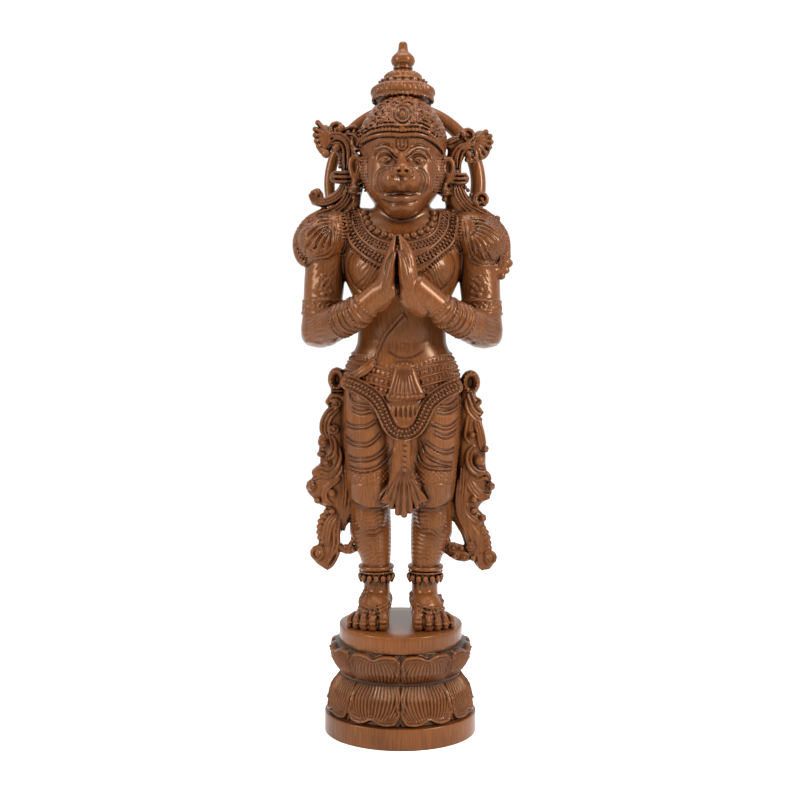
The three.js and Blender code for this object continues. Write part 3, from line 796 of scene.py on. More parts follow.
# %% [markdown]
# ## The tail
#
# The tail leaves the small of the back, climbs behind the left shoulder and
# stands in a wide ring behind the head before it ends behind the right one.
# A bent torus would need its ends joined by hand, so it is one strand that
# gets thinner along its way, with the ring's points taken from a circle.
# %% Tail
RING_RADIUS = 103
RING_MIDDLE = (2, 593)
ring = []
for share in np.linspace(0, 1, 15):
    angle = math.pi * (-0.08 + 1.18 * share)
    thick = 10.8 - 3.6 * share
    ring.append([RING_MIDDLE[0] + RING_RADIUS * math.cos(angle), 53 - 7 * math.sin(angle) ** 2,
        RING_MIDDLE[1] + RING_RADIUS * math.sin(angle), thick])
strand([
    [0, 36, 334, 12], [14, 50, 372, 12], [40, 50, 430, 12], [72, 50, 490, 11.5], [94, 51, 530, 11], *ring,
    [-82, 44, 522, 6.5], [-62, 34, 500, 4.5],
], blend=2, step=7)
tell("the tail")

# %% [markdown]
# ## Shoulder guards
#
# A leaf-shaped guard caps each shoulder, with rolled knobs along its edge.
# Here only its swelling body is put on, from flattened balls, because fine
# lines cut into an even ground come out crisper than ones modelled with it.
# %% Shoulder guards
for side in BOTH:
    ball((side * 104, 0, 510), (35, 35, 29), blend=3)
    ball((side * 107, -11, 505), (31, 30, 28), blend=2)
    ball((side * 131, -3, 495.5 - 3.5 * side), (10.5, 14, 25 + 3 * side), blend=2, tilt=-12 * side)
    ball((side * 50, 6, 538), (20, 22, 15), blend=6)
drawn([(324, 213, 3, 7, 10), (310, 222, 2, 8, 12), (299.5, 237, 0, 8, 13), (298, 250, -3, 7.4, 12),
       (303, 262, -5, 6, 9), (314, 262.5, -8, 4, 8)], blend=3)
drawn([(484, 217, 2, 7, 10), (498, 229, 2, 8, 12), (503, 243, 0, 8, 13), (504, 258, -3, 7.4, 12),
       (501, 270, -5, 7, 9), (492, 270, -8, 5, 8)], blend=3)
for place, size in (
    ((298, 243.5, -8), 5.2), ((299, 252.5, -8), 4.6), ((300, 259, -8), 5.4), ((304, 262.5, -10), 5.4),
    ((508.3, 262.8, -8), 5.4), ((505.5, 270, -8), 4.8), ((501, 275.5, -8), 5.2), ((496, 275.5, -8), 4.6),
    ((507.5, 255, -8), 3.8), ((496.5, 218.5, -2), 4.2),
):
    knob(place, size, blend=1)
tell("the shoulders")

# %% [markdown]
# The belt, the cloth that hangs between the legs in a fan of pleats, the
# tassel and the swag are raised grounds too. Cloth simulation would give limp
# folds, while these are carved and stiff, so the belt is a column that dips at
# the front, the fan is a row of strands, and the swag follows picture points
# along its middle.
# %% Belt, swag and cloth
def belt_line(x, y):
    """The belt dips at the front and at the back."""
    front = np.clip(-(y - 3) / np.sqrt(x * x + (y - 3) ** 2 + 1), 0, 1)
    return -14 * front**3


column([
    [311, 0, 3, 74, 48], [319, 0, 3, 76.4, 49.4], [332, 0, 3, 75, 48.4], [345, 0, 3, 71, 45.4],
    [359, 0, 3, 63.6, 40.6], [364, 0, 3, 60, 39],
], blend=1.5, shift=belt_line)
column([
    [166, 1, -36, 22, 8], [176, 1, -38, 20, 9], [188, 0, -40, 17, 10], [215, 0, -42, 13, 10],
    [250, 1, -44, 11, 10], [268, 1, -44, 10, 9],
], blend=1.5)
for start, end, row in ((398.4, 379.6, 497.5), (399.6, 385.6, 502), (400.8, 391.6, 506),
        (402, 397.4, 512.5), (403.2, 403.4, 514.5), (404.4, 409.2, 510.5), (405.6, 415.6, 506.5),
        (406.8, 422.4, 502.5), (408, 429, 497.5)):
    near = 1 - abs(end - 403) / 60
    drawn([(start, 466, -47, 1.4, 5), (start * 0.5 + end * 0.5, 484, -47 * near - 2, 2.9, 6),
           (end, row, -46 * near - 1, 4.4, 6)], blend=0.5)
strand([[1, -36, 318, 27, 9], [1, -42, 290, 26, 9], [1, -45, 262, 17, 8]], blend=3)
drawn([(403, 466, -40, 6, 5), (403, 484, -41, 19, 5), (403.5, 501, -39, 31, 5)], blend=2)
drawn([(373, 361, -37, 5, 4), (367, 367.5, -41, 6.4, 4.5), (357, 374.5, -36, 6.8, 4.5),
    (347, 380, -23, 6, 4)], blend=1)
drawn([(404, 367, -42, 14, 6), (404, 374, -45, 16, 7), (404.5, 386, -48, 20, 6),
    (405.5, 398, -49, 25, 5)], blend=2)
SWAG = [(344, 381.5), (357, 386.5), (371, 395), (378.5, 403.5), (383.4, 412.5), (388.8, 424.6),
    (395, 431.5), (403, 433.8), (411, 431.5), (418, 424.6), (423.6, 413.4), (429.4, 402.5), (442, 392.5),
    (458, 384.5)]
rows = []
for px, row in SWAG:
    near = math.cos(min(1.45, abs(px - 402) / 42))
    rows.append((px, row, -30 - 16 * near, 8.6 + 2.2 * near, 4.8))
drawn(rows, blend=0.8)
tell("the belt")

# %% [markdown]
# ## The sashes
#
# A ribbon hangs beside each leg: a small loop at the hip, a bundle of strands,
# knobs and leaves along the outer edge, a large serrated leaf at the ankle
# with a rolled tip, and a tie that joins it to the shin. It could be a flat
# cut-out, but a plate with rounded edges between two measured edge lines lets
# the scrolls on it melt into solid wood.
# %% Loops and plates
def sash_loop(px, row, wide, tall):
    """The small loop at the hip, with a seam of seeds on its rim."""
    rows = [(px + wide * math.sin(a), row - tall * math.cos(a), 5 - 2 * math.cos(a), 4.9, 8.5)
            for a in np.linspace(0, 2 * math.pi, 13)]
    drawn(rows, blend=1, step=4)
    knob((px, row, 11), (wide * 1.3, 4, tall * 1.3), blend=1)
    for a in np.linspace(0, 2 * math.pi, 14, endpoint=False):
        knob((px + wide * 1.05 * math.sin(a), row - tall * 1.05 * math.cos(a), -4), 2.0, blend=0.4)


def sash_plate(edges, depth=8.0, half=9.0):
    """The body of a sash, given by its two edges at each picture row."""
    rings = []
    for row, first, last in reversed(edges):
        low, high = seen([(first, row, depth), (last, row, depth)])
        rings.append([low[2], (low[0] + high[0]) / 2, depth, (high[0] - low[0]) / 2, half])
    column(rings, blend=2)


print("loops and plates can be drawn")

# %% [markdown]
# The sash on the figure's right. The two edges of its plate were read from the
# photo at each row, from the loop down to the tip of the leaf. On the plate
# lie, from top to bottom, a tie, rolled leaves, a row of volutes, a large
# curled leaf and the serrated one.
# %% Sash on the figure's right
sash_loop(336.4, 379.5, 5.6, 8.6)
RIGHT_EDGES = ((388, 330, 345), (393, 330, 345), (398, 326.5, 346), (403, 325.5, 346), (408, 327.5, 346),
    (413, 324.5, 346), (418, 322.5, 346), (428, 321, 346), (433, 321, 346), (438, 318, 346),
    (448, 318.5, 346), (453, 317.5, 346), (458, 319.5, 347), (463, 319.5, 347), (468, 314, 347),
    (478, 311.5, 347), (483, 306, 348), (488, 305.5, 348), (493, 307.5, 352), (498, 312, 353),
    (503, 315.5, 354), (508, 325, 355), (513, 323.5, 354), (518, 321.5, 351), (523, 319.5, 348),
    (528, 318.5, 345), (533, 317.5, 340.5), (538, 317.5, 339.5), (543, 318, 339), (548, 313, 338.5),
    (553, 311, 338), (558, 312, 337), (563, 315.5, 334), (568.5, 323.5, 330))
sash_plate(RIGHT_EDGES)
for row in (391, 394.4):
    drawn([(331.5, row, 1, 1.9, 5), (341.5, row, 1, 1.9, 5)], blend=0.4)
bundle([(329, 400, 3), (334, 397.6, 0), (340, 399, 1), (342, 404, 2)], 4.6, 2, 3.4)
volute(336.2, 403.6, 0, 5.4, 2.6, 160, 1, 0.9, 0.3)
knob((327.6, 402, 2), (4.0, 6, 4.6), blend=0.6)
bundle([(337, 408, 3), (329.5, 414, 1), (325, 423, 1), (325, 432, 2), (328, 438, 3)], 7.4, 3, 2.9)
volute(333.6, 428.8, 0, 6.4, 3.0, 150, 1, 0.9, 0.42)
volute(322.8, 442.6, 0, 6.2, 3.0, 60, 1, 0.95, 0.46)
bundle([(331, 437, 3), (333.4, 446, 2), (332, 454, 2), (326, 458, 3)], 4.4, 2, 3.3)
knob((321, 454.4, 2), (6.4, 7, 4.6), blend=0.6)
volute(326.4, 463.2, 0, 5.0, 2.5, 90, -1, 0.8, 0.5)
bundle([(338, 448, 4), (338.5, 458, 3), (335, 467, 3), (328, 471, 3), (320, 469.5, 3), (314, 472.5, 4)],
    4.4, 2, 3.4)
bundle([(341, 466, 4), (336, 475, 3), (328, 479, 3), (320, 478.5, 4), (315, 481, 5)], 4.4, 2, 3.4)
knob((316.5, 473, 4), (7.4, 7, 7.0), blend=0.8)
volute(309.6, 487.0, 0, 5.2, 2.6, -60, 1, 0.9, 0.5)
knob((316.8, 500.6, 2), (4.8, 6.4, 4.8), blend=0.6)
bundle([(339, 478, 3), (331, 484, 2), (324.5, 492, 2), (325.5, 501, 3), (332, 504.5, 3)], 3.4, 2, 3.3)
knob((332, 493.4, -2), (5.6, 7, 5.6), blend=0.5)
for drift, top, end in ((0, 462, 520), (3.0, 458, 526), (6.0, 464, 530), (8.6, 474, 522)):
    middle = (top + end) / 2
    bundle([(341.6 + drift, top, 5), (343 + drift, middle - 8, 4), (342.4 + drift, middle + 8, 4),
        (337.6 + drift, end, 6)], 0, 1, 2.6)
knob((331.8, 511.4, -1), (4.6, 6.6, 4.6), blend=0.5)
bundle([(336, 514, 3), (329.5, 522, 2), (326, 533, 2), (326, 545, 3)], 6.4, 3, 2.7)
bundle([(338.6, 520, 4), (335.5, 532, 3), (335.5, 544, 3), (331, 556, 4)], 4.0, 2, 3.1)
for px, row in ((327.4, 511.8), (323.4, 516.4), (321.2, 521.6), (320.2, 527), (320.0, 532.4),
        (320.8, 537.8), (322.4, 542.8)):
    knob((px, row, 5), (6.2, 6.6, 4.6), blend=0.8)
volute(317.6, 553.6, 1, 8.8, 4.2, 60, 1, 0.95, 0.44)
bundle([(334, 546, 4), (335, 554, 4), (331, 562, 4), (326, 568.6, 5)], 4.4, 2, 2.6, narrow=0.5)
drawn([(334, 553, 8, 8, 7), (330, 563, 8, 5, 6)], blend=1)
drawn([(338, 545, 7, 4.6, 7), (343, 549.5, 6, 5, 7), (350, 550.5, 6, 5.2, 7), (357, 547, 6, 5, 7),
       (362, 545, 7, 4.6, 7)], blend=1)
drawn([(348.5, 548, 3, 4, 6), (351.6, 542, 3, 3.2, 5), (352, 535.6, 3, 1.5, 4)], blend=0.8)
for px, row in ((345, 546.6), (353, 549.4), (349, 551.5)):
    knob((px, row, 0), 3.4, blend=0.5)
tell("the right sash")

# %% [markdown]
# The sash on the figure's left has its own scrolls, and a thicker tie with two
# volutes holds it to the shin. As before, the plate comes first and the
# strands are laid on it in the order in which they overlap.
# %% Sash on the figure's left
sash_loop(469.8, 382, 6.2, 8.8)
LEFT_EDGES = ((390, 459, 477), (393, 459, 475), (398, 457, 477), (403, 457, 479), (408, 456, 478),
    (413, 456, 479), (418, 456, 481), (428, 456, 482.5), (438, 456, 484), (448, 456, 486),
    (453, 456, 485), (463, 456, 485), (473, 455, 487), (483, 453, 491.5), (493, 451, 491),
    (498, 449, 488), (503, 447, 481), (508, 447, 478), (513, 448, 482), (518, 450.5, 484),
    (523, 454, 484), (528, 457, 484), (533, 460, 486.5), (538, 462, 488.5), (543, 463.5, 489),
    (548, 465, 490), (553, 468, 493), (558, 470.5, 494), (563, 474, 493.5), (568.5, 478, 489.5))
sash_plate(LEFT_EDGES)
bundle([(468, 392, 4), (471, 400, 2), (475, 408.6, 2), (480.6, 413, 4)], 4.6, 2, 3.4)
volute(477.2, 401.6, 1, 5.0, 2.5, 200, -1, 0.8, 0.25)
bundle([(466, 398, 4), (468, 409, 3), (473.6, 417, 3), (480, 420, 4)], 3.8, 2, 3.3)
bundle([(469, 413, 4), (467.6, 424, 3), (466.4, 435, 3), (470, 443, 4)], 4.0, 2, 3.3)
knob((471.2, 434.6, -2), (4.8, 6.6, 4.8), blend=0.5)
bundle([(475.6, 420, 4), (478.6, 430, 2), (480.6, 440, 2), (481.6, 449, 4)], 5.4, 3, 2.8)
volute(484.4, 448.4, 1, 4.4, 2.2, -120, 1, 0.8, 0.5)
bundle([(473, 446, 3), (468.6, 454, 2), (469, 464, 1), (475, 471.6, 1), (482.6, 472, 3)], 4.2, 2, 3.4)
knob((479, 460.4, -3), (7.4, 8, 7.4), blend=0.5)
bundle([(470, 474, 4), (477, 477.6, 3), (484, 474.6, 3), (488.4, 479, 4)], 4.4, 2, 3.5)
bundle([(467, 479, 4), (472.6, 489, 3), (480, 495.6, 3), (488, 495.6, 4)], 6.0, 3, 2.9)
volute(490.4, 486.0, 0, 4.8, 2.5, 150, -1, 0.9, 0.5)
knob((472.6, 499, -1), (4.8, 6.6, 4.8), blend=0.5)
knob((473, 510.4, -1), (4.6, 6.4, 4.6), blend=0.5)
bundle([(464.4, 502, 4), (466.4, 512, 3), (472.4, 518.6, 3), (479.6, 521.6, 3)], 3.6, 2, 3.3)
volute(481.8, 517.4, 1, 4.6, 2.5, -100, 1, 0.85, 0.45)
for drift, top, end in ((0, 464, 0), (-2.9, 462, 1), (-5.8, 468, 2), (-8.4, 478, 3)):
    bundle([(466 + drift, top, 5), (464.8 + drift, 484, 4), (463.6 + drift, 500, 4),
        (465.4 + drift, 514, 4), (471 + drift * 1.1, 525, 4), (477.6 + drift * 1.3, 535 + end, 4),
        (482 + drift * 1.6, 546 + end, 5)], 0, 1, 2.6)
for px, row in ((477.6, 523.4), (481.2, 527.4), (484, 532), (485.8, 537.2), (486.6, 542.4), (487, 547.4)):
    knob((px, row, 5), (6.2, 6.6, 4.6), blend=0.8)
volute(488.9, 557.4, 1, 8.2, 4.1, 120, -1, 0.95, 0.44)
bundle([(480, 552, 4), (479.6, 561, 4), (482.4, 568.6, 5)], 4.2, 2, 2.6, narrow=0.5)
volute(469.6, 546.4, -1, 5.6, 2.6, 100, -1, 0.9, 0.4)
drawn([(441, 545.5, 7, 6, 7), (449, 548, 6, 9, 7), (458, 552, 6, 11.5, 8), (468, 553, 7, 10, 8),
    (476, 551, 9, 8, 7)], blend=1.5)
volute(452.4, 547.4, 0, 6.2, 3.0, 20, 1, 0.8, 0.4)
volute(463.6, 556.4, 0, 6.0, 3.0, 120, -1, 0.8, 0.4)
for px, row, size in ((447.6, 541.6, 4.0), (461, 547.6, 4.2), (453.6, 555.6, 4.2), (472.4, 557.4, 4.6)):
    knob((px, row, 1), (size, 6, size), blend=1)
tell("the sashes")
rough_stop = len(forms)

# %% [markdown]
# ## Fine carving
#
# The fine pattern lies on the rough figure, so its depth has to be known. A
# Shrinkwrap modifier could press curves onto a mesh, but there is no mesh yet.
# Instead the rough figure is filled once with coarse cells, and a line of sight
# from the camera through a picture point finds where it meets the wood.
# %% Finding the surface
OUTSIDE = ((-150, -122, -5), (150, 96, 780))  # a box round the whole figure
ROUGH_CELL = 2.4
NEAREST = -121.0  # the depth at which a line of sight starts
CHEST = -62.0  # the same behind the joined hands
rough = fill(*OUTSIDE, ROUGH_CELL, 0, rough_stop)
print(f"rough figure filled, {time.time() - started:.0f} s so far")


def on_front(points, start=NEAREST, misses=True):
    """Picture points as places on the surface, searched from depth start on.

    misses keeps the points whose line of sight passes the figure by."""
    rows = np.atleast_2d(np.array(points, float))
    depths = np.arange(start, OUTSIDE[1][1] - 1, ROUGH_CELL / 2)
    count = len(rows)
    table = np.repeat(rows[:, :2], len(depths), axis=0)
    places = seen(np.column_stack([table, np.tile(depths, count)]))
    value = sample(rough, *places.T).reshape(count, -1)
    inside = value < 0
    hit = inside.any(1)
    first = np.clip(inside.argmax(1), 1, None)
    number = np.arange(count)
    before, after = value[number, first - 1], value[number, first]
    depth = depths[first] - ROUGH_CELL / 2 * after / (after - before + 1e-9)
    depth = np.where(hit, depth, depths[np.abs(value).argmin(1)])
    found = seen(np.column_stack([rows[:, :2], depth]))
    return found if misses else found[hit]


def stud(px, row, radii, blend=2.0, way="add"):
    """A ball where a picture point meets the surface."""
    ball(on_front([(px, row)])[0], radii, way, blend)


def cast_line(points, start):
    """The longest stretch of a line that meets the surface without a jump."""
    line = on_front(path_through(points, max(8, 5 * len(points))), start, False)
    if len(line) < 3:
        return line
    breaks = np.flatnonzero(np.abs(np.diff(line[:, 1])) > 6) + 1
    return max(np.split(line, breaks), key=len)


print("the middle of the mouth is at", on_front([(400, 194)])[0].round(1))

# %% [markdown]
# Three tools draw nearly all of the pattern: a row of beads, a raised line and
# a cut line. A carver has a gouge for each of them. They are small functions
# that take picture points, so that a line seen in the photo can be written
# down as it is read. A hoop is a ring or a row of beads round a limb.
# %% Beads, ridges, grooves and hoops
def beads(points, radius, apart, sunk=0.2, flat=1.0, blend=0.5, start=NEAREST):
    """A row of beads along picture points."""
    line = cast_line(points, start)
    if len(line) < 3:
        return
    length = np.linalg.norm(np.diff(line, axis=0), axis=1).sum()
    for place in path_through(line, max(2, int(length / apart) + 1)):
        ball((place[0], place[1] + radius * sunk, place[2]), (radius, radius * flat, radius), blend=blend)


def ridge(points, radius, sunk=0.3, blend=0.8, way="add", step=4.0, start=NEAREST):
    """A raised line along picture points, or a groove when cut."""
    line = cast_line(points, start)
    if len(line) < 3:
        return
    depth = line[:, 1]
    middle = np.r_[depth[:1], (depth[:-2] + depth[1:-1] + depth[2:]) / 3, depth[-1:]]
    line[:, 1] = middle + radius * sunk
    wide = np.full(len(line), float(radius))
    wide[[0, -1]] *= 0.5
    strand(np.column_stack([line, wide]), way=way, blend=blend, step=step)


def groove(points, radius, sunk=-0.35, blend=0.8, step=4.0, start=NEAREST):
    """A cut line along picture points."""
    ridge(points, radius, sunk, blend, "cut", step, start)


def beside(line, away):
    """Picture points moved sideways from a line."""
    rows = path_through(line, 4 * len(line))
    way = np.gradient(rows, axis=0)
    way /= np.linalg.norm(way, axis=1)[:, None] + 1e-9
    return rows + np.column_stack([-way[:, 1], way[:, 0]]) * away


def mirrored(points, middle=401.6):
    """The same picture points on the other side of the figure's middle."""
    return [(2 * middle - point[0], *point[1:]) for point in points]


def hoop(path, share, lift, thick, count=0, size=0.0, facing=(0, 0, 1)):
    """A ring round a limb, a share of the way along its path, or beads."""
    at = share * (len(path) - 1)
    low = min(int(at), len(path) - 2)
    row = path[low] + (at - low) * (path[low + 1] - path[low])
    along = path[low + 1, :3] - path[low, :3]
    along /= np.linalg.norm(along)
    deep = np.array(facing, float) - np.dot(facing, along) * along
    deep /= np.linalg.norm(deep)
    wide = np.cross(along, deep)
    turns = np.linspace(0, 2 * math.pi, 17)
    if count:
        turns = np.linspace(0, 2 * math.pi, count, endpoint=False)
    places = [
        row[:3] + (row[3] + lift) * math.cos(a) * wide + (row[4] + lift) * math.sin(a) * deep for a in turns
    ]
    if count:
        for place in places:
            ball(place, size, blend=0.6)
    else:
        strand([[*place, thick] for place in places], blend=0.8)


print("a groove beside a line of 3 points follows", len(beside([(0, 0), (5, 1), (9, 0)], 2)), "points")

# %% [markdown]
# ## The face
#
# Double ridges arch over the eyes and run into the nose. The eye is a ball
# between two lids with a drilled pupil. A picture of an eye on a flat face
# would go blind from the side, so the lids are strands that bend back round
# the ball.
# %% Brows and eyes
brow_left = [(396, 156), (392, 151), (386, 147), (379.5, 147.5), (374, 152.5), (371.5, 158)]
brow_right = [(405.5, 155.5), (410, 151), (417, 147.5), (424, 149), (429, 154), (431, 161)]
for brow in (brow_left, brow_right):
    ridge(brow, 2.5, sunk=0.1, blend=1.0)
    inner = [(px + (401 - px) * 0.06, row + 4.6) for px, row in brow]
    ridge(inner[:-1], 1.8, sunk=0.1, blend=0.8)
    groove([(px + (401 - px) * 0.03, row + 2.5) for px, row in brow[:-1]], 1.2, sunk=-0.1)
    groove([(px, row - 3.4) for px, row in brow[1:-1]], 1.1, sunk=-0.2)
    groove([(px + (401 - px) * 0.1, row + 7.4) for px, row in brow[:-1]], 1.1, sunk=-0.1)
for px, row, way in ((385.6, 160.6, -1), (418.2, 161.4, 1)):
    centre = on_front([(px, row)])[0]
    ball((centre[0], centre[1] + 2.6, centre[2]), (9.2, 6.0, 5.4), blend=0.4)
    lid = [(px - 8.4, row + 1.8), (px - 5, row - 1.8), (px, row - 3.4), (px + 5, row - 1.6),
        (px + 8.2, row + 1.8)]
    under = [(px - 8.2, row + 2.0), (px - 4.5, row + 4.6), (px, row + 5.4), (px + 4.5, row + 4.4),
        (px + 8, row + 2)]
    for line, thick in ((lid, 1.9), (under, 1.5)):
        rows = [(*point, centre[1] - 1.4 + 2.6 * (abs(point[0] - px) / 8) ** 2) for point in line]
        strand(np.column_stack([seen(rows), [thick * 0.6, thick, thick, thick, thick * 0.6]]), blend=0.7)
    ball((centre[0], centre[1] - 3.0, centre[2] + 0.6), (3.6, 1.8, 3.4), blend=0.3)
    ball((centre[0], centre[1] - 5.0, centre[2] + 0.6), (1.7, 2.6, 1.7), way="cut", blend=0.3)
tell("the eyes")

# %% [markdown]
# A U-shaped mark stands on the forehead, fine folds circle the snout, and a
# row of short hairs runs down each cheek in front of the ear. These are thin
# cuts with a soft rim, since a sharp rim would look like a crack in polished
# wood.
# %% Mark, mouth and cheeks
mark = [(395.8, 136.5), (395.8, 142), (396.8, 147.5), (401.2, 150.4), (405.6, 147.5), (406.6, 142),
    (406.6, 136.5)]
groove(mark, 1.4, sunk=0.0)
groove([(401.2 + (px - 401.2) * 0.42, row - 1.6) for px, row in mark], 1.2, sunk=0.0)
ridge([(401.2 + (px - 401.2) * 0.74, row - 0.6) for px, row in mark], 1.1, sunk=0.0, blend=0.4)
for edge in ([(366.8, 156), (366, 166), (366.4, 178), (367.6, 188), (371, 197)],
        [(437.4, 160), (437.6, 170), (436.6, 180), (434.6, 189), (431, 196)]):
    groove(edge, 1.8, sunk=-0.1, blend=1.5)
groove([(377.6, 190.6), (384, 193.4), (392, 194), (399.6, 193), (407, 194), (415, 193.4), (421, 190.4)],
    1.5, sunk=-0.2)
groove([(381, 200.4), (389, 203), (399.6, 203.8), (410, 203), (418, 200.2)], 1.5, sunk=-0.1, blend=1.5)
groove([(399.8, 176.5), (399.6, 182), (399.6, 188)], 1.0, sunk=-0.2, blend=1.5)
groove([(393.5, 167), (390.4, 171.5), (391, 176), (395, 178.4)], 1.3, sunk=-0.1)
groove([(409.5, 167), (412.8, 171.5), (412, 176), (407.5, 178.4)], 1.3, sunk=-0.1)
for drift in (0, 3.4):
    groove([(388 - drift, 167.5), (381 - drift, 171), (377 - drift, 178), (377.5 - drift, 186),
        (380 - drift, 193)], 1.1, sunk=-0.1, blend=1.5)
    groove([(414 + drift, 167.5), (420 + drift, 171), (424 + drift, 178), (423 + drift, 186),
        (420 + drift, 193)], 1.1, sunk=-0.1, blend=1.5)
groove([(393, 165), (389.5, 168), (383, 168.6)], 1.1, sunk=-0.1)
groove([(409, 165), (412.5, 168), (420, 169)], 1.1, sunk=-0.1)
for row in np.arange(158, 194, 3.0):
    side = 0.2 * max(0, row - 176)
    for inner, outer in ((366.5 + side, 361.5 + side), (437.0 - side, 442.0 - side)):
        for px in (inner, (inner + outer) / 2, outer):
            stud(px, row, (1.9, 1.6, 1.7), blend=0.4)
tell("the face")

# %% [markdown]
# ## Crown pattern
#
# The brow band has smooth cords with a row of beads between them, and a
# medallion of rings stands above its middle. The cords follow one line of
# picture points that is moved up and drawn in a little for each of them, so
# they stay side by side.
# %% Brow band and medallion
band = [(353, 157), (355.5, 149), (361, 142), (370, 136.5), (381, 133.8), (391, 133.2), (401, 134),
    (411, 133.2), (421, 134.2), (430, 138), (437.5, 144), (442, 151), (443.5, 158)]
for rise, thick in ((1.0, 2.9), (-8.2, 1.9)):
    ridge([(401 + (px - 401) * (1 + 0.004 * rise), row + rise) for px, row in band], thick, sunk=-0.3)
for rise in (3.4, -1.6, -6.6, -10.2):
    groove([(401 + (px - 401) * (1 + 0.004 * rise), row + rise) for px, row in band[1:-1]], 1.5, sunk=-0.1)
beads([(401 + (px - 401) * 0.975, row - 4.0) for px, row in band], 2.9, 4.7, sunk=0.1)
beads([(401 + (px - 401) * 0.95, row - 12.0) for px, row in band[1:-1]], 1.9, 4.2, sunk=0.0)
hub = (401.8, 114.5)
for radius, thick, way in ((10.4, 1.3, "add"), (8.4, 1.1, "cut"), (6.8, 1.4, "add"), (4.8, 1.2, "cut")):
    bearings = np.linspace(0, 2 * math.pi, 13)
    circle = [(hub[0] + radius * math.cos(a), hub[1] + radius * math.sin(a)) for a in bearings]
    ridge(circle, thick, sunk=0, way=way)
beads([(hub[0] + 12.6 * math.cos(a), hub[1] + 12.4 * math.sin(a)) for a in np.linspace(0, 2 * math.pi,
    17)], 1.5, 4.2)
stud(*hub, (4.2, 3.2, 4.2), blend=0.8)
for px, row, size in ((402.5, 98.5, 3.4), (399, 101, 2.4), (406, 101, 2.4), (402.5, 102.5, 2.2)):
    stud(px, row, size, blend=0.8)
tell("the medallion")

# %% [markdown]
# The rest of the cap is covered with small scrolls. Those at the front are
# placed one by one, in turns that differ from scroll to scroll, as hand work
# does. At the sides and behind, where single scrolls can't be told apart, a
# wave formula raises rings all over. A bump map would be quicker, but it
# leaves the outline smooth.
# %% Scrolls on the cap
def swirl(middle, size, way, begin, thick=1.1):
    """A small scroll with a round eye at its middle."""
    turns = np.linspace(0, 1.5 * math.pi, 7)
    points = [
        (middle[0] + size * (1 - 0.12 * a) * math.cos(begin + way * a),
         middle[1] + size * (1 - 0.12 * a) * math.sin(begin + way * a)) for a in turns
    ]
    hollow = [(middle[0] + 0.6 * (px - middle[0]), middle[1] + 0.6 * (row - middle[1])) for px,
        row in points]
    groove(hollow, thick, sunk=0.1, blend=0.5, step=3)
    ridge(points, thick, sunk=-0.2, blend=0.4, step=3)
    stud(*middle, thick * 1.3, blend=0.4)


rng = np.random.default_rng(7)
for px, row in ((379, 106), (386, 103.5), (376, 113), (383.5, 112), (371, 120.5), (379, 120),
        (387, 119.5), (366.5, 128), (374, 127.5), (418.5, 104), (425, 107.5), (420, 113), (427.5, 115),
        (416.5, 121), (424.5, 122), (432, 121.5), (430, 129), (437, 129.5), (439.5, 138), (410, 103),
        (394, 103), (441, 146), (359.5, 146)):
    swirl((px, row), 3.1, rng.choice((-1, 1)), rng.uniform(0, 6), 1.3)
for px, row in ((382.5, 107.8), (390.5, 110), (374.5, 117), (369, 124.5), (371.5, 131), (413.5, 109),
        (422, 118), (429, 110.5), (428, 125.5), (434.5, 134), (436, 125.5), (383, 124.5), (419, 126.5),
        (401.5, 128.2)):
    stud(px, row, 1.9, blend=0.6)


def cap_scrolls(x, y, z):
    """Small raised rings all over the cap above the brow band."""
    turn = np.arctan2(x, -(y + 6))
    rings = np.sin(2.3 * (np.cos(15 * turn + 0.5 * z / 10.5) + np.cos(2 * math.pi * z / 10.5)))
    above = np.clip((z - 634 - raised_front(x, y)) / 3, 0, 1) * np.clip((697 - z) / 3, 0, 1)
    close = np.clip((62 - np.hypot(x, y + 6)) / 3, 0, 1)
    clear = np.clip((np.hypot(x, z - 660) - 17) / 2, 0, 1)
    return (0.75 * rings * above * np.where(y < 0, np.minimum(close, clear), close)).astype(F)


forms.append((np.array((-60, -66, 630)), np.array((60, 56, 694)), "raise", 0, cap_scrolls))
tell("the crown pattern")

# %% [markdown]
# ## Necklace, collar and thread
#
# Round beads lie close at the neck. The collar below is a broad plate with
# smooth cords and rows of seeds between them. The seeds could be scattered
# over a surface, but rows that run beside the three cords keep the order that
# a string of seeds has.
# %% Necklace and collar
beads([(364, 213), (366.2, 220), (369.5, 226.5), (375.5, 231.5), (384, 234.8), (393, 236.4),
    (402, 236.6), (411, 235.6), (420.5, 232.2), (428, 228), (432, 221), (432.5, 214)], 4.9, 9.6,
    sunk=-0.2, blend=0.3, start=CHEST)
cords = {"inner": [(357, 209), (361, 217), (362.5, 224), (368, 232.5), (378, 239.5), (387, 242.2),
    (396, 243.6), (407, 242.6), (419, 240), (429, 236), (436, 229), (438.5, 220), (439.5, 211)],
    "second": [(351.5, 211), (352.5, 222), (355.5, 232), (364, 242), (374, 248.5), (382, 253.5),
    (390, 256), (412, 256), (422, 252), (431.5, 246.5), (440, 238.6), (446.5, 229), (448, 220),
    (448, 211)], "third": [(344.5, 214), (346, 226), (348, 238), (353, 247), (362, 255), (371, 261),
    (379.5, 266), (388, 268), (414, 270), (422, 270), (429, 262.5), (440, 253.5), (449.5, 246),
    (454.5, 236), (456.5, 224), (456, 214)]}
for name, thick in (("inner", 1.7), ("second", 1.4), ("third", 2.0)):
    ridge(cords[name], thick, sunk=-0.3, blend=0.5, start=CHEST)
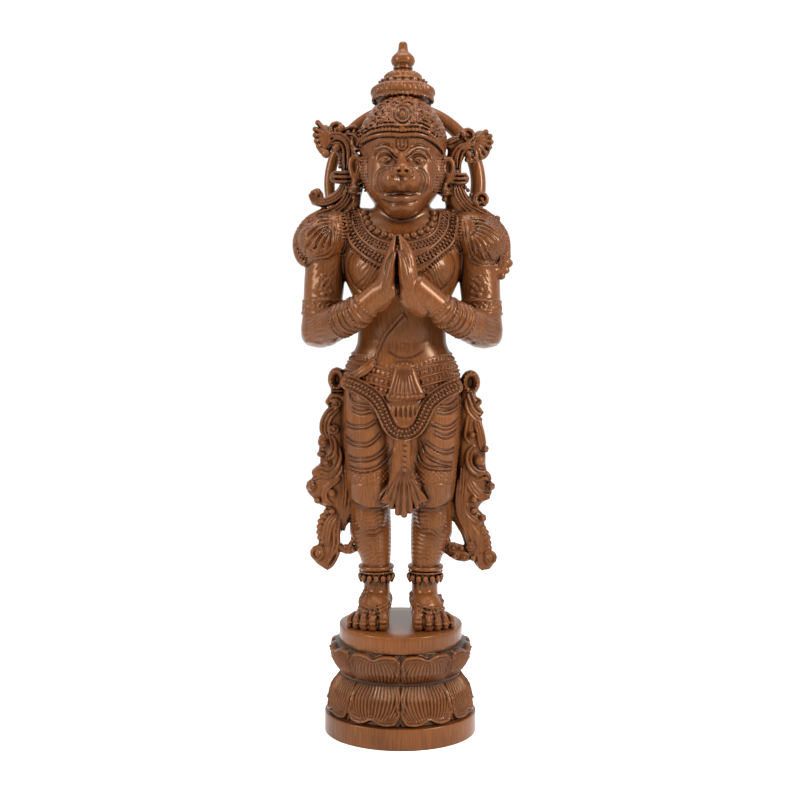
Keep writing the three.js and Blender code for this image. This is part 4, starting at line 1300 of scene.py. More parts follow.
for name, shift, size, apart in (("inner", 3.4, 1.8, 4.6), ("inner", 7.0, 1.8, 4.6),
        ("second", 3.8, 2.3, 5.6), ("second", 8.0, 2.3, 5.6), ("third", 3.2, 1.6, 4.4)):
    line = []
    for px, row in cords[name]:
        way = np.array([(px - 400.5) / 46, (row - 210) / 34])
        way /= np.linalg.norm(way) + 1e-6
        line.append((px + way[0] * shift, row + way[1] * shift))
    groove(line, size * 0.85, sunk=0.0, blend=0.5, start=CHEST)
    beads(line, size, apart, sunk=-0.1, flat=0.9, blend=0.3, start=CHEST)
tell("the collar")

# %% [markdown]
# A thread of two strands comes from under the hands to the right hip, and its
# free end lies over the belt. A curve object would float above the skin, so
# the thread is two low ridges with a groove between them. The lower lines of
# the chest, the navel and the fold of the belly are soft cuts.
# %% Thread, chest and navel
for drift, way in ((0, "add"), (2.2, "cut"), (4.4, "add")):
    ridge([(402 + drift * 0.6, 312 + drift), (391 + drift * 0.7, 325 + drift * 0.7), (382 + drift, 338),
        (376.5 + drift, 352), (372 + drift, 364)], 1.0, sunk=0.1 if way == "add" else 0.0, blend=0.8,
        way=way)
for drift in (-1.5, 1.5):
    groove([(372 + drift, 362 + drift * 0.8), (366.5 + drift, 368 + drift), (357, 374.5 + drift * 1.3),
        (349, 379 + drift * 1.3)], 0.9, sunk=-0.1)
for side, chest in ((-1, [(352, 252), (346.5, 262), (347.5, 274), (354, 286), (364, 294)]),
        (1, [(449, 250), (455, 262), (453.5, 274), (446, 286), (434, 294.5)])):
    groove(chest, 1.5, sunk=-0.1, blend=2.5, start=-50)
groove([(399.5, 343.6), (404, 342.6), (408.5, 343.8)], 0.8, sunk=-0.1)
groove([(388, 351), (396, 356), (404, 357.6), (413, 355.8), (421, 351)], 0.9, sunk=0.3, blend=3)
tell("the thread")

# %% [markdown]
# ## Shoulder guards, armlets and bracelets
#
# The shoulder guards are leaves with long flutes that gather at the collar, a
# rolled edge and rows of seeds. The flutes are cut in pairs, a groove with a
# ridge beside it, because a groove alone looks scratched and not carved.
# %% Shoulder guards
def flutes(root, ends, lean):
    """Grooves with a ridge beside them that spread from one place."""
    for number, (px, row) in enumerate(ends):
        near = (root[0] * 0.80 + px * 0.20 + lean, root[1] * 0.80 + row * 0.20 - 1.5 + 1.3 * number)
        middle = (root[0] * 0.48 + px * 0.52 + lean * 2, root[1] * 0.48 + row * 0.52 - 3.4 + 0.7 * number)
        groove([near, middle, (px, row)], 1.6, sunk=-0.15, blend=0.6)
        ridge([(near[0] + 1.6, near[1] + 1.6), (middle[0] + 1.8, middle[1] + 2.2),
            (px + 2.4, row + 2.4)], 1.8, sunk=0.0, blend=0.6)


flutes((335, 217), [(316, 215.5), (307, 223.5), (302.5, 232), (302, 240.5), (305, 248), (312, 251.5),
    (321, 252), (329, 249)], -1.0)
flutes((464.5, 219), [(483, 219.5), (492, 227), (498, 235.5), (499.5, 244), (498, 252.5), (490.5, 257),
    (481.5, 256.5), (473, 252.5)], 1.0)
for drift in (0, 3.4):
    ridge([(333 + drift, 220), (332 + drift * 1.1, 233), (332.5 + drift, 243), (326 + drift, 252.5 + drift),
           (316, 255.6 + drift), (306, 256.8 + drift)], 1.6, sunk=-0.2, blend=0.5)
    ridge([(465 - drift, 222), (466.5 - drift, 232), (470 - drift, 248), (474 - drift, 257 + drift),
           (481, 261.5 + drift), (494, 262 + drift)], 1.6, sunk=-0.2, blend=0.5)
ridge([(319, 221), (312, 226), (306.5, 235), (304, 249), (304.5, 257)], 1.5, sunk=0.15)
ridge([(489, 223), (495, 231), (498.5, 241), (499.5, 252), (499, 262)], 1.5, sunk=0.15)
swirl((313.5, 246.5), 4.2, 1, 0.5, 1.5)
swirl((323.5, 246), 3.2, -1, 2.5, 1.3)
swirl((488.3, 247.5), 3.8, 1, 1.0, 1.5)
swirl((478.5, 249.5), 3.0, -1, 2.5, 1.3)
for px, row in ((309, 250.5), (317.5, 252), (321, 250.5), (482, 254.5), (486.5, 255.5), (491, 254.5),
        (476, 252.5)):
    stud(px, row, 2.0, blend=0.5)
beads([(304, 262), (312, 262), (321, 260), (330, 256.5), (336, 252)], 1.6, 4.2, flat=0.8)
beads([(496, 266), (487, 266.5), (478, 264.5), (471, 260), (466, 254)], 1.6, 4.2, flat=0.8)
for px, tall in ((336.5, 24), (340.5, 29), (458, 22), (462, 24)):
    beads([(px, 216), (px + (1 if px < 400 else -1), 216 + tall / 2),
        (px + (2 if px < 400 else -1.5), 216 + tall)], 1.7, 4.2, flat=0.9)
for px, row in ((341, 252.5), (459.5, 249.5)):
    swirl((px, row), 4.2, 1, 0, 1.3)
for share in np.linspace(0.3, 1, 6):
    knob((316 - 17 * share, 208 + 26 * share, -4), 2.6, blend=0.8)
    knob((311 - 11 * share, 213 + 28 * share, -12), 2.4, blend=0.8)
    knob((499 + 6 * share, 229 + 22 * share, -10), 2.8, blend=0.8)
    knob((503 + 4 * share, 234 + 18 * share, -2), 2.6, blend=0.8)
tell("the shoulder guards")

# %% [markdown]
# The armlet is a band round the arm with a pointed floral crest above it, and
# rings and rows of beads sit on each wrist. The band's pattern is a wave
# formula on its column, since it runs round evenly. The crest faces the
# viewer, so it is drawn with picture points.
# %% Armlets and bracelets
def armlet_band(turn, z, near):
    """Two cords with rings between them."""
    cords = 1.2 * np.exp(-(((z - 411.8) / 1.5) ** 2)) + 1.1 * np.exp(-(((z - 427.4) / 1.5) ** 2))
    rings = 1.0 * np.sin(2.2 * (np.cos(14 * turn) + np.cos(2 * math.pi * (z - 419.5) / 11))) - 0.5
    return cords + rings * np.exp(-(((z - 419.5) / 5.4) ** 6))


for side in BOTH:
    column(sided([
        [408, 106.5, -2, 25.6, 27.6], [411, 106, -1, 27.4, 29.2], [428, 105, 0, 27.2, 29.2],
        [431, 104.6, 0, 26, 27.8],
    ], side), blend=0.6, relief=armlet_band)
for middle in (323, 478.5):
    for px, row, size in ((0, 275.5, 3.0), (-3, 280, 3.0), (3, 280, 3.0), (0, 283, 3.4),
            (-5.5, 286, 3.2), (5.5, 286, 3.2), (-2.2, 289.5, 3.0), (2.2, 289.5, 3.0), (-7, 292, 3.2),
            (7, 292, 3.2), (0, 294.5, 3.4)):
        place = on_front([(middle + px, row)])[0]
        ball((place[0], place[1] + 0.6, place[2]), (size, size * 0.8, size), blend=0.8)
    ridge([(middle - 8, 293), (middle - 5.5, 284), (middle, 277.5), (middle + 5.5, 284),
        (middle + 8, 293)], 1.1)
    swirl((middle, 285.5), 3.2, 1, 0, 1.0)
for middle, row in ((318, 299.5), (484, 301)):
    swirl((middle, row), 3.6, 1, 0, 1.2)
for side, path in zip(BOTH, forearms):
    for share, lift, thick in ((0.47, 0.6, 1.7), (0.53, 0.9, 1.9), (0.58, 1.0, 1.6), (0.70, 0.8, 1.9)):
        hoop(path, share, lift, thick)
    hoop(path, 0.43, 0.3, 0, count=26, size=2.1)
    hoop(path, 0.64, 1.0, 0, count=24, size=2.6)
    hoop(path, 0.75, 0.4, 0, count=24, size=2.0)
tell("the bracelets")

# %% [markdown]
# ## Hands
#
# The fingers lie side by side, so their edges show as long soft lines, with
# the little fingers in front and the tips of the long ones above them. Cutting
# these lines is all that is needed to tell the fingers apart, and it keeps the
# smooth outline of the joined hands.
# %% Hands
groove([(395.9, 236), (395.9, 244), (395.9, 252)], 1.3, sunk=-0.2)
groove([(395.8, 262), (395.8, 272), (395.8, 286), (395.6, 301)], 1.5, sunk=-0.1)
for px, row, size in ((396.2, 247.4, (2.6, 14, 4.2)), (395.8, 263.6, (2.2, 10, 5.0)),
        (395.8, 270, (1.4, 8, 6))):
    stud(px, row, size, way="cut", blend=1)
groove([(398, 251.4), (402, 254.6), (405.6, 260), (408, 267), (409, 276)], 1.4, sunk=0.0, blend=1.2)
groove([(393.6, 252.4), (389.4, 257), (386, 263), (384.4, 272)], 1.3, sunk=0.0, blend=1.2)
groove([(401.6, 240.6), (406.4, 247.4), (410.4, 256.6), (412.5, 267)], 1.1, sunk=-0.1, blend=1.2)
groove([(391.4, 241.5), (386.8, 249.6), (382.6, 260)], 1.0, sunk=-0.1, blend=1.2)
groove([(396, 301), (401, 308), (407, 317.5)], 1.3, sunk=-0.1, blend=1.0)
tell("the hands")

# %% [markdown]
# ## Belt, swag and folded cloth
#
# Rows of seeds circle the hips between cords. More than a hundred seeds could
# be placed as balls, but a wave round the belt's column gives them all at once
# and lets each row follow the dip at the front.
# %% Belt
CORDS = (304, 315, 325.5, 337, 348, 358.5)
SEEDS = (309.4, 320.2, 331.2, 342.5, 353.2)


def belt_rows(turn, z, near):
    """Cords round the belt, with rows of seeds in channels between them."""
    cords = sum(1.3 * np.exp(-(((z - level) / 1.6) ** 2)) for level in CORDS)
    seeds = sum(
        (1.9 + 1.9 * np.cos(70 * turn)) * np.exp(-(((z - level) / 2.7) ** 4))
        - 3.6 * np.exp(-(((z - level) / 4.4) ** 4)) for level in SEEDS
    )
    return cords + seeds


column([[303, 0, 3, 75.4, 50], [311, 0, 3, 77.6, 51.6], [319, 0, 3, 80.2, 53.2], [332, 0, 3, 78.6, 52.2],
    [345, 0, 3, 74.6, 49.2], [359, 0, 3, 67.2, 44.2], [364, 0, 3, 62, 41]], blend=0.5, shift=belt_line,
    relief=belt_rows)
tell("the belt's rows")

# %% [markdown]
# A gathered tassel hangs from the clasp and ends in a row of rounded tips.
# Under it a band with two rows of seeds swings in a U. Its rows and edges are
# drawn beside the same middle line that gave the band, so they can't run off
# it.
# %% Tassel and swag
for share in np.linspace(-0.9, 0.9, 7):
    groove([(403.8 + 6.5 * share, 368), (403.8 + 9.5 * share, 381), (403.8 + 15 * share, 395)], 1.5,
        sunk=-0.1)
for share in np.linspace(-1.05, 1.05, 8):
    stud(403.8 + 15.5 * share, 397.5 - 1.5 * abs(share), (3.2, 3.4, 3.6), blend=0.6)
beads([(394, 365), (404, 363.4), (413.6, 365)], 2.2, 4.6)
for px in (393, 397.5, 402.5, 407.5, 412):
    ridge([(px, 406), (px, 413), (px, 419)], 1.9, sunk=0.2, blend=0.4)
    groove([(px + 2.4, 406), (px + 2.4, 413), (px + 2.4, 419)], 1.2, sunk=0.0)
for away in (-2.3, 2.3):
    groove(beside(SWAG, away), 2.0, sunk=-0.2)
    beads(beside(SWAG, away), 2.2, 4.8, sunk=-0.3, flat=0.9, blend=0.3)
for away in (-6.6, 6.6):
    ridge(beside(SWAG, away), 1.6, sunk=-0.2, blend=0.4)
    groove(beside(SWAG, away * 0.72), 1.1, sunk=-0.1, blend=0.5)
tell("the swag")

# %% [markdown]
# The cloth is drawn tight over each thigh in sagging folds, each of two thin
# ridges with a cut between them. A cloth simulation would never repeat the
# carver's own lines, so they are read from the photo, and each is drawn four
# times with a small shift. Two borders with beads end the cloth.
# %% Folds over the thighs
folds = [
    [(348, 390), (351, 400), (357, 404.5), (370, 406)], [(350.5, 408.4), (360, 413), (373, 410)],
    [(343, 422.6), (353.6, 426.9), (365.4, 426.7), (376.5, 420)],
    [(343, 436.7), (353.6, 443.8), (365.4, 445), (374, 440), (381, 432)],
    [(343, 454), (353.6, 459.6), (369, 459.2), (381, 452.5), (387, 445)],
    [(345, 466), (359.5, 471), (374.8, 468.4), (386.6, 459), (392.5, 448.5)],
    [(437.4, 405.6), (449, 405.2), (460, 396)], [(434, 411), (444, 412.5), (455, 408), (462, 399)],
    [(429, 422.4), (443.3, 427.8), (455, 422.6), (464, 408.4)],
    [(431.5, 432), (444.4, 436.7), (457.4, 429.7), (465, 418)],
    [(423.4, 440.3), (436.2, 449.9), (448, 451.3), (457.4, 446), (465, 432)],
    [(419, 442), (426.7, 455.6), (442, 463.2), (455, 462.4), (464.5, 454)],
    [(415.5, 449), (422, 464), (436.2, 468.8), (461, 467.4)],
]
for fold in folds:
    ridge(fold, 1.5, sunk=0.0, blend=0.8)
    groove([(px, row - 1.9) for px, row in fold], 1.1, sunk=0.0, blend=1.2)
    groove([(px + 0.2, row + 2.0) for px, row in fold], 1.0, sunk=0.1, blend=0.8)
    ridge([(px + 0.3, row + 3.8) for px, row in fold], 1.0, sunk=0.1, blend=0.8)
for line in ([(346, 474.5), (360, 478), (374, 475.5), (387, 466.5), (393, 456)],
        [(347.7, 483.3), (363, 486), (380.7, 482.6), (389.5, 475.5), (395, 464)],
        [(413, 459), (420.5, 471), (434, 475.5), (458, 474)], [(412, 470), (421.5, 481.6), (436.2, 485),
        (457, 484)]):
    ridge(line, 1.3, sunk=0.15)
beads([(348, 479), (361, 482), (377, 479.5), (388, 471.5), (394, 460)], 1.5, 4.6, flat=0.7)
beads([(413, 465), (421, 476.5), (435, 480.2), (457, 479)], 1.5, 4.6, flat=0.7)
tell("the folds")

# %% [markdown]
# Between the legs the cloth ends in pleats. Beads run down its middle,
# lozenges cover the border of the cloth on the thighs, and sharp cuts part the
# pleats of the fan. The lozenges are a wave formula again, because they are
# too small to be placed by hand.
# %% Middle pleats
beads([(404.2, 443), (404.2, 456), (403.6, 470)], 3.1, 6.4, sunk=-0.2, flat=0.8, blend=0.3)


def cloth_pattern(x, y, z):
    """Small lozenges on the border of the cloth."""
    turn = np.arctan2(np.abs(x) - 40, -y)
    knots = np.cos(38 * turn) * np.cos(2 * math.pi * z / 6.2)
    near = np.clip((z - 189) / 2, 0, 1) * np.clip((207 - z) / 2, 0, 1) * np.clip((np.abs(x) - 8) / 4, 0, 1)
    return (0.6 * knots * near).astype(F)


forms.append((np.array((-79, -60, 185)), np.array((79, 0, 214)), "raise", 0, cloth_pattern))
for px, top, low in ((397.5, 444, 467), (411.5, 444, 467), (393.5, 447, 462), (415.5, 447, 462)):
    ridge([(px, top), (px + (1 if px < 404 else -1), (top + low) / 2),
        (px + (2.5 if px < 404 else -2.5), low)], 1.6)
for end, row in ((388.6, 501), (394.4, 508), (412.4, 507.6), (419, 502.4)):
    ridge([(403.4 + 0.35 * (end - 403.4), 482), (403.4 + 0.7 * (end - 403.4), row - 9), (end, row)], 1.0,
        sunk=0.0, blend=0.4)
for start, end, row in ((399, 382.6, 497), (400.2, 388.6, 502), (401.4, 394.6, 507), (402.6, 400.4, 511),
        (403.8, 406.4, 511), (405, 412.4, 507), (406.2, 419, 502), (407.4, 425.8, 497)):
    groove([(start, 470), (start * 0.5 + end * 0.5, 484), (end, row)], 1.3, sunk=-0.1, blend=0.5)
tell("the pleats")

# %% [markdown]
# ## Anklets, feet and fur
#
# A smooth ring lies over a row of bells at each ankle, and a chain of small
# bells falls in a V over the instep. Copies on a circle could be made with an
# Array modifier, but as forms they sit in the wood like the carved ones. The
# toes get nails.
# %% Anklets and feet
for side in BOTH:
    for height, thick, radius in ((73.5, 3.0, 21.5), (68, 1.6, 22)):
        strand([[side * 33 + radius * math.sin(a), 8 - (radius + 1.5) * math.cos(a), height, thick]
                for a in np.linspace(0, 2 * math.pi, 17)], blend=0.8)
    for a in np.linspace(0, 2 * math.pi, 15, endpoint=False):
        place = (side * 32.5 + 21.5 * math.sin(a), 7.5 - 23 * math.cos(a))
        ball((*place, 60.5), (3.9, 3.9, 5.2), blend=0.6)
        ball((*place, 55.2), (1.9, 1.9, 1.9), blend=0.6)
    chains = ([(393, 588), (392.5, 597), (389, 605), (381, 610.5)],
        [(365, 592), (361, 600), (359, 607), (364, 611)], [(359, 607), (366, 611.5), (375, 612.5),
        (384, 609.5), (390, 604)])
    for chain in chains:
        if side > 0:
            chain = mirrored(chain, 401.5)
        for drift, size in ((0, 2.6), (-4.2, 2.2), (4.0, 2.1)):
            beads([(px, row + drift) for px, row in chain], size, size * 2.0, sunk=-0.3, blend=0.2)
    for x, y, r in TOES:
        ball((side * x, y + 1 - r * 0.62, r * 1.52), (r * 0.62, r * 0.5, r * 0.34), blend=0.3)
tell("the anklets")


# %% [markdown]
# Short wavy lines of fur run over the calves and the arms, and rows of fine
# dots cover the outer shoulders. A hair system would give soft fur, but here
# the hair is carved in low relief, so a wave raises and lowers the surface by
# half a millimetre and fades at the rim of its box.
# %% Fur and dots
def texture(low, high, pattern):
    """Raises the surface by pattern(x, y, z) in a box, fading at its rim."""
    low, high = np.array(low, float), np.array(high, float)
    middle, half = (low + high) / 2, (high - low) / 2

    def shape(x, y, z):
        near = sum(((value - middle[n]) / half[n]) ** 4 for n, value in enumerate((x, y, z)))
        return (pattern(x, y, z) * np.clip(1.2 - near, 0, 1)).astype(F)

    forms.append((low, high, "raise", 0, shape))


def fur(low, high, slant, pitch, amount):
    """Fine slanting lines that waver a little."""
    def lines(x, y, z):
        bend = 1.7 * np.sin(0.30 * x + 0.9 * np.sin(0.09 * z))
        return amount * np.cos(2 * math.pi / pitch * (x * slant[0] + y * slant[1] + z * slant[2]) + bend)

    texture(low, high, lines)


def hatching(low, high, pitch, amount):
    """Rows of small dots."""
    def dots(x, y, z):
        wave = np.cos(2 * math.pi / pitch * (x + y + 0.4 * z)) * np.cos(2 * math.pi / pitch * (z - 0.4 * x))
        return amount * wave

    texture(low, high, dots)


for side in BOTH:
    hatching((min(side * 111, side * 146), -34, 468), (max(side * 111, side * 146), 34, 546), 6.6, 1.35)
    fur((side * 40 - 34, -40, 78), (side * 40 + 34, 45, 156), (0.30 * side, 0.25, 0.85), 4.8, 0.58)
    fur((min(side * 62, side * 130), -60, 364), (max(side * 62, side * 130), 24, 410),
        (0.25 * side, 0.15, 0.9), 4.8, 0.6)
    fur((min(side * 82, side * 128), -42, 432), (max(side * 82, side * 128), 24, 482),
        (0.7, 0.3, 0.5 * side), 4.4, 0.22)
    fur((min(side * 18, side * 70), -60, 440), (max(side * 18, side * 70), -20, 476),
        (0.8, 0.2, 0.5 * side), 4.4, 0.4)
tell("the fur")

# %% [markdown]
# ## From numbers to meshes
#
# One mesh of the whole figure would have the same cells everywhere. Instead the
# figure is laid in regions, each with its own cell size and its own share of
# the triangles, so that the face gets finer cells than the calves. The lowest
# and the highest corner are given in millimetres, with None where a region
# runs on to the end, then the cell size and the most thousands of triangles.
# %% Regions
REGIONS = {
    "head_and_crown": ((-62, None, 549), (62, None, None), 1.0, 165),
    "right_scrolls": ((None, None, 535), (-62, None, None), 1.1, 56),
    "left_scrolls": ((62, None, 535), (None, None, None), 1.1, 56),
    "chest_and_hands": ((-71, None, 335), (71, None, 549), 1.1, 150),
    "right_arm": ((None, None, 335), (-71, None, 535), 1.2, 56),
    "left_arm": ((71, None, 335), (None, None, 535), 1.2, 56),
    "belt_and_cloth": ((-70, None, 163), (70, None, 335), 1.1, 130),
    "shins_and_feet": ((-70, None, -5), (70, None, 163), 1.25, 76),
    "right_sash": ((None, None, -5), (-70, None, 335), 1.2, 62),
    "left_sash": ((70, None, -5), (None, None, 335), 1.2, 62),
}
OVERLAP = 9.0  # how far neighbours run into each other
print(len(REGIONS), "regions,", sum(region[3] for region in REGIONS.values()), "thousand triangles at most")

# %% [markdown]
# The numbers become a Blender mesh, which is then thinned where it is flat, so
# that the triangles go to the carving. Adding faces one by one in a loop would
# take minutes, and handing over whole arrays takes a second. The corners that
# are left get their recess depth as an attribute, which the wood reads later.
# %% Making a mesh
def whole_mesh(name, points, faces, recess, most):
    """A Blender mesh in metres, thinned out to most thousand triangles.

    faces is a list of arrays, each with faces of one number of corners, and
    recess(points) gives the recess depths of the corners that are left."""
    mesh = bpy.data.meshes.new(name)
    mesh.vertices.add(len(points))
    mesh.vertices.foreach_set("co", (points / 1000).astype(F).ravel())
    corners = np.concatenate([part.ravel() for part in faces]).astype(np.int32)
    sizes = np.concatenate([np.full(len(part), part.shape[1]) for part in faces])
    mesh.loops.add(len(corners))
    mesh.loops.foreach_set("vertex_index", corners)
    mesh.polygons.add(len(sizes))
    mesh.polygons.foreach_set("loop_start", (np.cumsum(sizes) - sizes).astype(np.int32))
    mesh.update(calc_edges=True)
    made = bpy.data.objects.new(name, mesh)
    bpy.context.collection.objects.link(made)
    triangles = int((sizes - 2).sum())
    if triangles > most * 1000:
        thinned = made.modifiers.new("thinned", "DECIMATE")
        thinned.ratio = most * 1000 / triangles
        bpy.context.view_layer.objects.active = made
        bpy.ops.object.modifier_apply(modifier="thinned")
    mesh = made.data
    mesh.validate()
    left = np.empty(3 * len(mesh.vertices), F)
    mesh.vertices.foreach_get("co", left)
    mesh.polygons.foreach_set("use_smooth", np.ones(len(mesh.polygons), bool))
    layer = mesh.attributes.new("recess", "FLOAT", "POINT")
    layer.data.foreach_set("value", recess(left.reshape(-1, 3) * 1000).astype(F))
    kept = sum(len(face.vertices) - 2 for face in mesh.polygons)
    print(f"{name}: {triangles} triangles, {kept} kept, {time.time() - started:.0f} s so far")
    return made


# %% [markdown]
# Grooves are made darker than the high places: partly dust and old oil that stay
# in them, partly painted shade, the darkening that shade gives in a groove.
# Blender can find them with an ambient occlusion node. The grid knows the answer
# already: a few millimetres out from an open surface the distance has grown by
# as much, and in a groove it has not.
# %% Recess depth
def recess_of(grid, points):
    """0 on open surface, 1 deep in a groove, read from the numbers."""
    gx, gy, gz, field = grid
    x, y, z = points.T
    step = 1.5
    slope = np.stack([
        sample(grid, x + step, y, z) - sample(grid, x - step, y, z),
        sample(grid, x, y + step, z) - sample(grid, x, y - step, z),
        sample(grid, x, y, z + step) - sample(grid, x, y, z - step),
    ], 1)
    slope /= np.linalg.norm(slope, axis=1)[:, None] + 1e-6
    hidden = np.zeros(len(points))
    for away, weight in ((2.2, 0.55), (5.5, 0.33), (11.0, 0.12)):
        out = points + slope * away
        gap = np.clip(sample(grid, *out.T), -away, away)
        hidden += weight * np.clip(1 - gap / away, 0, 1)
    return hidden


# %% [markdown]
# Each region is filled and laid by itself. Past its own edge a region sinks
# slowly below the surface, where its neighbour covers it. Stitching the edges
# together would be the other way, but it needs equal cells on both sides, and
# with sunk edges no seam can be seen.
# %% Laying the regions
SINKING = 0.045


def lay_region(low, high, cell):
    """One region's points, its faces and the grid they come from."""
    start = [OUTSIDE[0][n] if low[n] is None else low[n] - OVERLAP for n in range(3)]
    stop = [OUTSIDE[1][n] if high[n] is None else high[n] + OVERLAP for n in range(3)]
    grid = fill(start, stop, cell)
    field = grid[3]
    true_field = field.copy()
    for n in range(3):
        shape = [1, 1, 1]
        shape[n] = -1
        if low[n] is not None:
            past = np.clip(low[n] - grid[n], 0, None).reshape(shape)
            field += SINKING * past**2
        if high[n] is not None:
            past = np.clip(grid[n] - high[n], 0, None).reshape(shape)
            field += SINKING * past**2
        edge = [slice(None)] * 3
        for end in (0, -1):
            edge[n] = end
            field[tuple(edge)] = np.maximum(field[tuple(edge)], 0.5)
    points, faces = lay_mesh(grid)
    return points, faces, (*grid[:3], true_field)


figure = []
lift = (0, 0, SOLES)
for name, (low, high, cell, most) in REGIONS.items():
    points, faces, grid = lay_region(low, high, cell)
    points[:, 2] += SOLES
    figure.append(whole_mesh(name, points, [faces], lambda left: recess_of(grid, left - lift), most))

# %% [markdown]
# ## The plinth
#
# The plinth is an oval slab, a row of lotus petals that hang, a deep waist, a
# row that opens upwards and a round slab on top. Each row has eight broad
# petals with two lobes and a rolled lip, and small pointed ones look out
# between them. Copies of one modelled petal would have to be bent round the
# oval, so the plinth is laid as rings of points, and a formula says how far
# each point stands out.
# %% Petals
AROUND = 640
PETALS = 8
turn = np.linspace(0, 2 * math.pi, AROUND, endpoint=False)
across = ((turn / (2 * math.pi) * PETALS) % 1) * 2 - 1


def bump(value, middle, width):
    """1 at the middle, falling smoothly to 0 a width or two away."""
    return np.exp(-(((value - middle) / width) ** 2))


def petal_row(share, height, lip, ribs):
    """How far the petals stand out at one level.

    share runs from 0 at the waist to 1 past the petals' tips."""
    u = across
    lobes = 0.93 - 0.09 * bump(u, 0, 0.2) + 0.035 * bump(np.abs(u), 0.5, 0.25)
    edge = lobes - 0.26 * np.clip((np.abs(u) - 0.78) / 0.22, 0, 1) ** 1.6
    inside = (edge - share) * height
    body = 2.6 * np.sqrt(np.clip(1 - u**2, 0, 1)) * np.clip(share * 3, 0.2, 1)
    rolled = lip * (bump(inside, 1.4, 1.7) + 0.5 * bump(inside, 5.2, 1.2) - 0.4 * bump(inside, 3.4, 0.9))
    narrowing = np.sqrt(np.clip(1 - (0.95 * share / edge) ** 2.2, 0.06, 1))
    nested = u / narrowing / (0.80 + 0.20 * min(1, share * 3))
    rib = ribs * np.cos(nested * 13 * math.pi) * np.clip((inside - 3.0) / 2.0, 0,
        1) * (np.abs(nested) < 1.6)
    valley = -1.0 * bump(u, 0, 0.10) * np.clip(share * 1.6 - 0.5, 0, 1) * np.clip(inside / 3, 0, 1)
    behind = np.clip(-inside / 1.8, 0, 1)
    petal = (body + rolled + rib + valley) * (1 - behind) - 2.2 * behind
    gap = np.clip((1 - np.abs(u)) / 0.06, 0, 1)
    groove = -2.2 * (1 - gap) ** 1.5
    small_edge = 0.97 - 0.62 * (1 - np.abs(u)) / 0.20
    small = np.clip((small_edge - share) * height / 2, 0, 1) * np.clip((share - 0.12) * 6, 0, 1)
    small = small * (2.4 + 0.7 * np.cos((1 - np.abs(u)) * 130))
    beside = (np.abs(u) > 0.80) * np.clip((np.abs(u) - 0.80) / 0.05, 0, 1)
    return petal + groove + beside * small * (0.45 + 0.55 * share)


print("a petal stands out by up to", petal_row(0.6, 50, 2.2, 1.2).max().round(1), "mm")

# %% [markdown]
# The rings are stacked from the floor to the top slab. Heights here are
# millimetres above the floor. More rings lie where a petal's edge turns, and
# each slab's rim has a few close ones that round it off, which is the work of
# a Bevel modifier on a simpler body.
# %% Rings of the plinth
BASE = (100, 85)  # half-width and half-depth of the slab below
TOP_RADIUS = 81.6
TOP = 141.0
rings = []


def ring_at(a, b, z, out=None):
    """One ring of points; out moves them outwards across the oval."""
    out = np.zeros(AROUND) if out is None else out
    nx, ny = np.sin(turn) / a, -np.cos(turn) / b
    size = np.hypot(nx, ny)
    x = a * np.sin(turn) + out * nx / size
    y = -b * np.cos(turn) + out * ny / size
    rings.append((np.column_stack([x, y, np.full(AROUND, z)]), out))


for share in (0.02, 0.4, 0.8, 0.97):
    ring_at((BASE[0] - 1) * share, (BASE[1] - 1) * share, 0)
for inset, z in ((0.9, 0.0), (0.25, 0.4), (0, 1.2), (0, 9), (0, 18), (0, 25.6), (0.25, 26.5), (0.9, 27)):
    ring_at(BASE[0] - inset, BASE[1] - inset, z)
for inset in (4, 9):
    ring_at(BASE[0] - inset, BASE[1] - inset, 27.2 + 0.02 * inset)
for share in np.r_[1.02, 1.0 - np.linspace(0, 1, 34) ** 1.15]:
    wide = 78.0 + 15.6 * (1 - (1 - min(share, 1)) ** 2.4)
    ring_at(wide, wide * 0.868, 28.5 + 48 * (1 - share), petal_row(share, 50, 2.2, 1.2))
for inset, z in ((0, 77.3), (0.6, 78.2), (0, 79.0)):
    ring_at(79.4 - inset, 69.6 - inset, z)
for share in np.r_[np.linspace(0, 1, 34) ** (1 / 1.15), 1.02]:
    swell = math.sin(math.pi * min(1, 0.10 + 0.72 * share))
    wide = 77.0 + 7.5 * share + 8.4 * swell
    deep = 67.0 + 10.5 * share + 8.4 * swell
    ring_at(wide, deep, 79.5 + 39 * share, petal_row(share, 42, 2.0, 1.0))
for radius, z in ((79.5, 119.2), (81.0, 119.4), (TOP_RADIUS, 120.2), (TOP_RADIUS, 126),
        (TOP_RADIUS, 133), (TOP_RADIUS, 139.8), (81.2, 140.6), (80.4, TOP), (60, TOP), (30, TOP),
        (1.0, TOP)):
    ring_at(radius, radius, z)
print(len(rings), "rings of", AROUND, "points")

# %% [markdown]
# The rings become one closed skin of four-sided faces. There is no grid of
# distances here, so grooves are found by comparing each point with the mean of
# those around it, which gives the same recess depth that the figure has, with
# its dirt and painted shade. Bands of painted shade are added where shade falls:
# in the waist, at the foot of the lower petals and under the top slab.
# %% The plinth's mesh
points = np.vstack([ring[0] for ring in rings])
out = np.array([ring[1] for ring in rings])
mean = out.copy()
for reach in (1, 2, 3, 4, 5):
    mean = mean + np.roll(out, reach, 1) + np.roll(out, -reach, 1)
mean = mean / 11
rows = np.pad(mean, ((2, 2), (0, 0)), "edge")
mean = (rows[:-4] + rows[1:-3] + rows[2:-2] + rows[3:-1] + rows[4:]) / 5
level = np.array([ring[0][0, 2] for ring in rings])[:, None]
recess = np.clip((mean - out) / 1.7, 0, 0.75) + np.clip(-out / 9, 0, 0.25)
